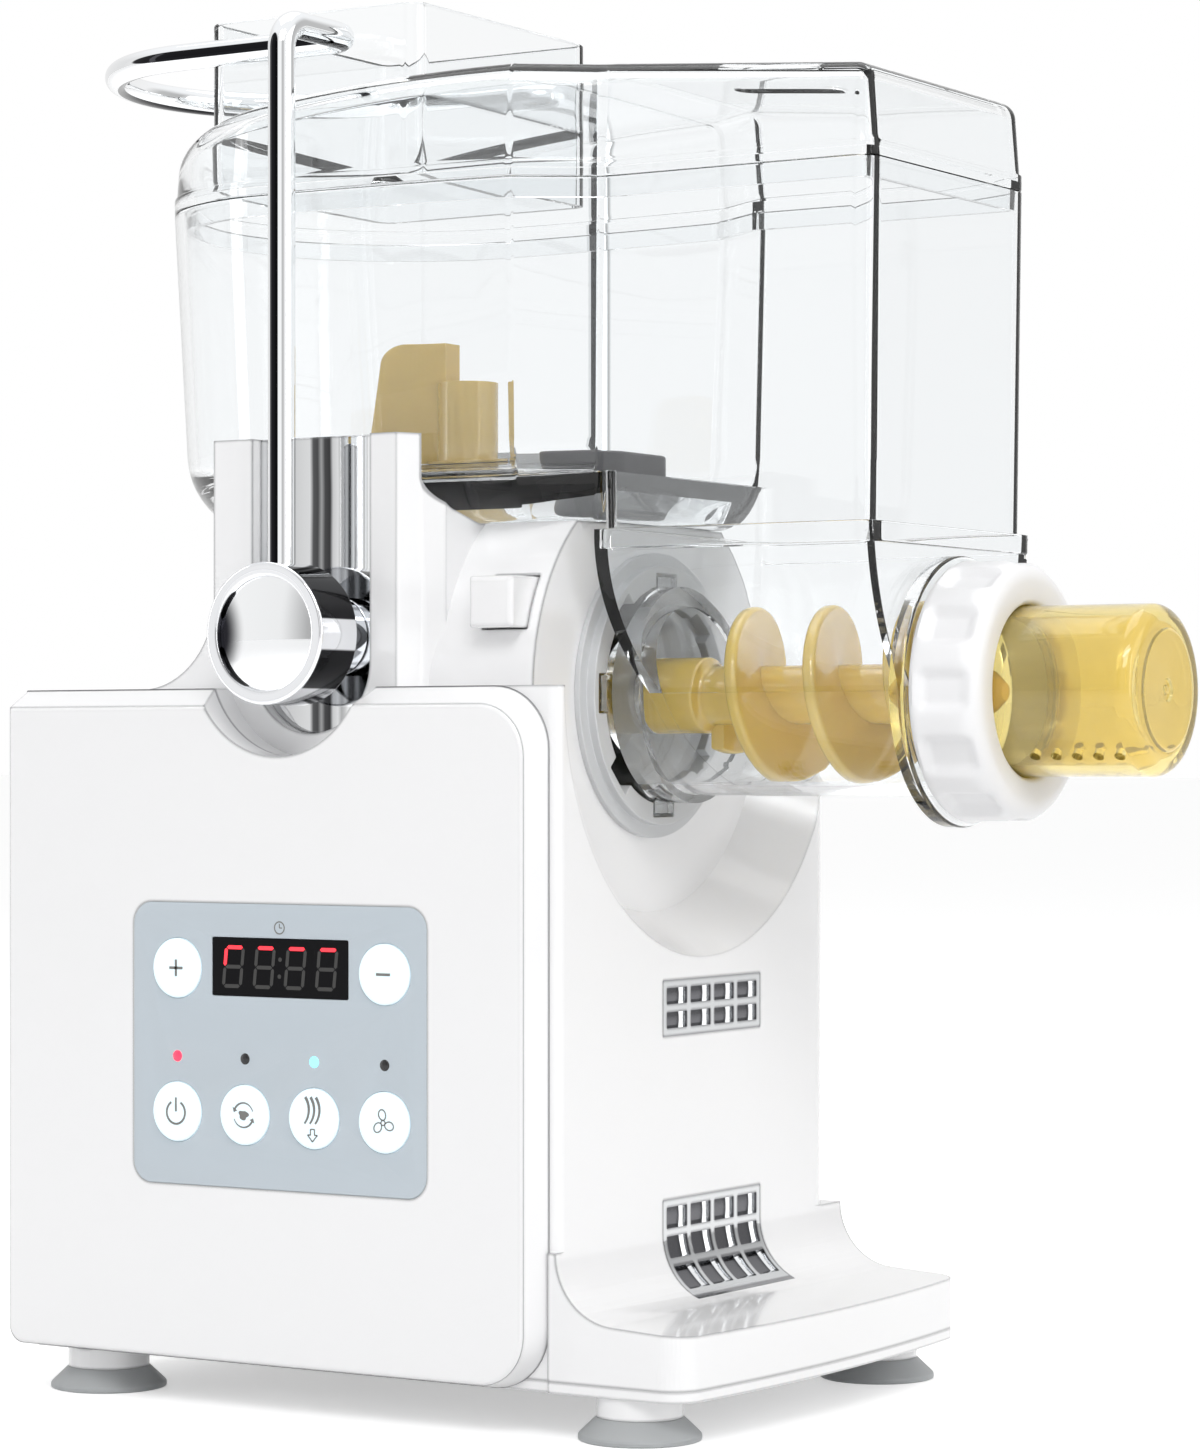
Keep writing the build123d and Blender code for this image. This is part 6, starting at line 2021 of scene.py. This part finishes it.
# ============================================================ studio
@dataclass(frozen=True)
class Softbox:
    """A rectangular area light that looks at the machine."""

    name: str
    place: tuple[float, float, float]
    size: tuple[float, float]
    power: float

    def build(self) -> None:
        """Makes the light, turned towards the middle of the machine."""
        data = bpy.data.lights.new(self.name, "AREA")
        data.shape = "RECTANGLE"
        data.size, data.size_y = self.size
        data.energy = self.power
        light = bpy.data.objects.new(self.name, data)
        aim = np.array((0.0, 0.0, 0.15)) - np.array(self.place)
        light.location = self.place
        light.rotation_euler = (math.atan2(math.hypot(aim[0], aim[1]), -aim[2]), 0.0, math.atan2(-aim[0], aim[1]))
        bpy.context.scene.collection.objects.link(light)


@dataclass(frozen=True)
class Studio:
    """Camera, pale floor, white surroundings and soft lights."""

    lens: float = 104.28
    shift_y: float = 0.0241
    camera_place: tuple[float, float, float] = (0.48915 + DATUM_X * MM, -0.8285, 0.1467)
    camera_turn: float = 32.0
    floor_grey: float = 0.82
    floor_glow: float = 0.42
    floor_half: float = 30.0
    ambient: float = 0.55
    ceiling: tuple[float, float, float] = (0.98, 0.99, 1.0)
    bands: tuple[tuple[float, float], ...] = (
        (0.0, 0.80), (0.10, 0.95), (0.17, 0.90), (0.20, 0.45), (0.24, 0.45), (0.27, 0.98), (0.34, 0.98),
        (0.36, 0.55), (0.39, 0.55), (0.42, 0.95), (0.56, 0.9), (0.60, 0.5), (0.66, 0.55), (0.72, 0.95), (1.0, 0.80))
    softboxes: tuple[Softbox, ...] = (
        Softbox("key", (0.9, -1.3, 1.5), (1.0, 1.0), 14.0),
        Softbox("top", (-0.2, 0.2, 1.8), (1.4, 1.4), 10.0),
        Softbox("fill", (1.6, 0.3, 0.7), (1.2, 1.2), 4.0),
        Softbox("band", (0.80, -1.15, 1.55), (1.5, 0.16), 5.0),
        Softbox("left_strip", (-1.5, -0.95, 0.45), (0.16, 1.5), 3.0),
        Softbox("right_strip", (1.75, -0.45, 0.45), (0.16, 1.5), 3.0))

    def build(self) -> None:
        """Sets the view transform and makes camera, world, floor and lights."""
        bpy.context.scene.view_settings.view_transform = "Standard"
        self.make_camera()
        self.make_world()
        self.make_floor()
        for softbox in self.softboxes:
            softbox.build()

    def make_camera(self) -> None:
        """Long lens ahead of the near front corner, a little above the die."""
        data = bpy.data.cameras.new("camera")
        data.lens, data.sensor_width, data.shift_y = self.lens, 36.0, self.shift_y
        camera = bpy.data.objects.new("camera", data)
        camera.location = self.camera_place
        camera.rotation_euler = (math.radians(90), 0.0, math.radians(self.camera_turn))
        bpy.context.scene.collection.objects.link(camera)
        bpy.context.scene.camera = camera

    def make_floor(self) -> None:
        """Wide pale floor, which reads white to the camera where no shadow falls on it."""
        material = bpy.data.materials.new("floor")
        material.use_nodes = True
        net = Net(material.node_tree)
        seen = net.add("LightPath").outputs
        glow = net.math("MULTIPLY", net.math("MAXIMUM", seen["Is Camera Ray"], seen["Is Glossy Ray"]),
                        self.floor_glow)
        net.fill(net.tree.nodes["Principled BSDF"], Base_Color=(*(self.floor_grey,) * 3, 1.0), Roughness=0.55,
                 Emission_Color=(1.0, 1.0, 1.0, 1.0), Emission_Strength=glow)
        mesh, half = bpy.data.meshes.new("floor"), self.floor_half
        mesh.from_pydata([(-half, -half, 0), (half, -half, 0), (half, half, 0), (-half, half, 0)], [],
                         [(0, 1, 2, 3)])
        mesh.materials.append(material)
        floor = bpy.data.objects.new("floor", mesh)
        bpy.context.scene.collection.objects.link(floor)

    def make_world(self) -> None:
        """White surroundings for the camera and through glass, a soft studio with darker flags for gloss."""
        world = bpy.data.worlds.new("studio")
        bpy.context.scene.world = world
        world.use_nodes = True
        world.node_tree.nodes.clear()
        net, plain = Net(world.node_tree), (1.0, 1.0, 1.0, 1.0)
        seen = net.add("LightPath").outputs
        soft = net.add("Background", Color=plain, Strength=self.ambient).outputs[0]
        shiny = net.add("Background", Color=self.studio_color(net)).outputs[0]
        white = net.add("Background", Color=plain).outputs[0]
        shown = soft
        for ray, background in (("Is Glossy Ray", shiny), ("Is Transmission Ray", white), ("Is Camera Ray", white)):
            switch = net.add("MixShader", Fac=seen[ray])
            net.put(shown, switch.inputs[1])
            net.put(background, switch.inputs[2])
            shown = switch.outputs[0]
        net.add("OutputWorld", Surface=shown)

    def studio_color(self, net: Net) -> bpy.types.NodeSocket:
        """Grey bands round the horizon, a ramp over the bearing, that fade into a bright ceiling.

        Args:
            net: Tree of the world.

        Returns:
            The socket of the colour.
        """
        split = net.add("SeparateXYZ", Vector=net.add("TexCoord").outputs["Generated"]).outputs
        bearing = net.spread(net.math("ARCTAN2", split["Y"], split["X"]), From_Min=-math.pi, From_Max=math.pi,
                             To_Min=0.0, To_Max=1.0)
        height = net.spread(split["Z"], "SMOOTHSTEP", From_Min=0.35, From_Max=0.75, To_Min=0.0, To_Max=1.0)
        return net.blend(net.ramp(self.bands, bearing), self.ceiling, height)


def main() -> None:
    """Builds the looks in order: studio, carried pieces, kept nodes and the new sub-assemblies."""
    logging.basicConfig(level=logging.INFO, format="%(message)s")
    Studio().build()
    for row in carried_pieces():
        row.build()
    for finish, nodes in KEPT_NODES.items():
        for node in nodes:
            dress_node(node, finish)
    for assembly in (Hopper(), Lid(), Chamber(), RingNut(), Die(), FeedScrew(), Bail(), ControlCover(),
                     ControlPanel(), VentLinings()):
        LOG.info("building %s", type(assembly).__name__)
        assembly.build()


if __name__ == "__main__":
    main()
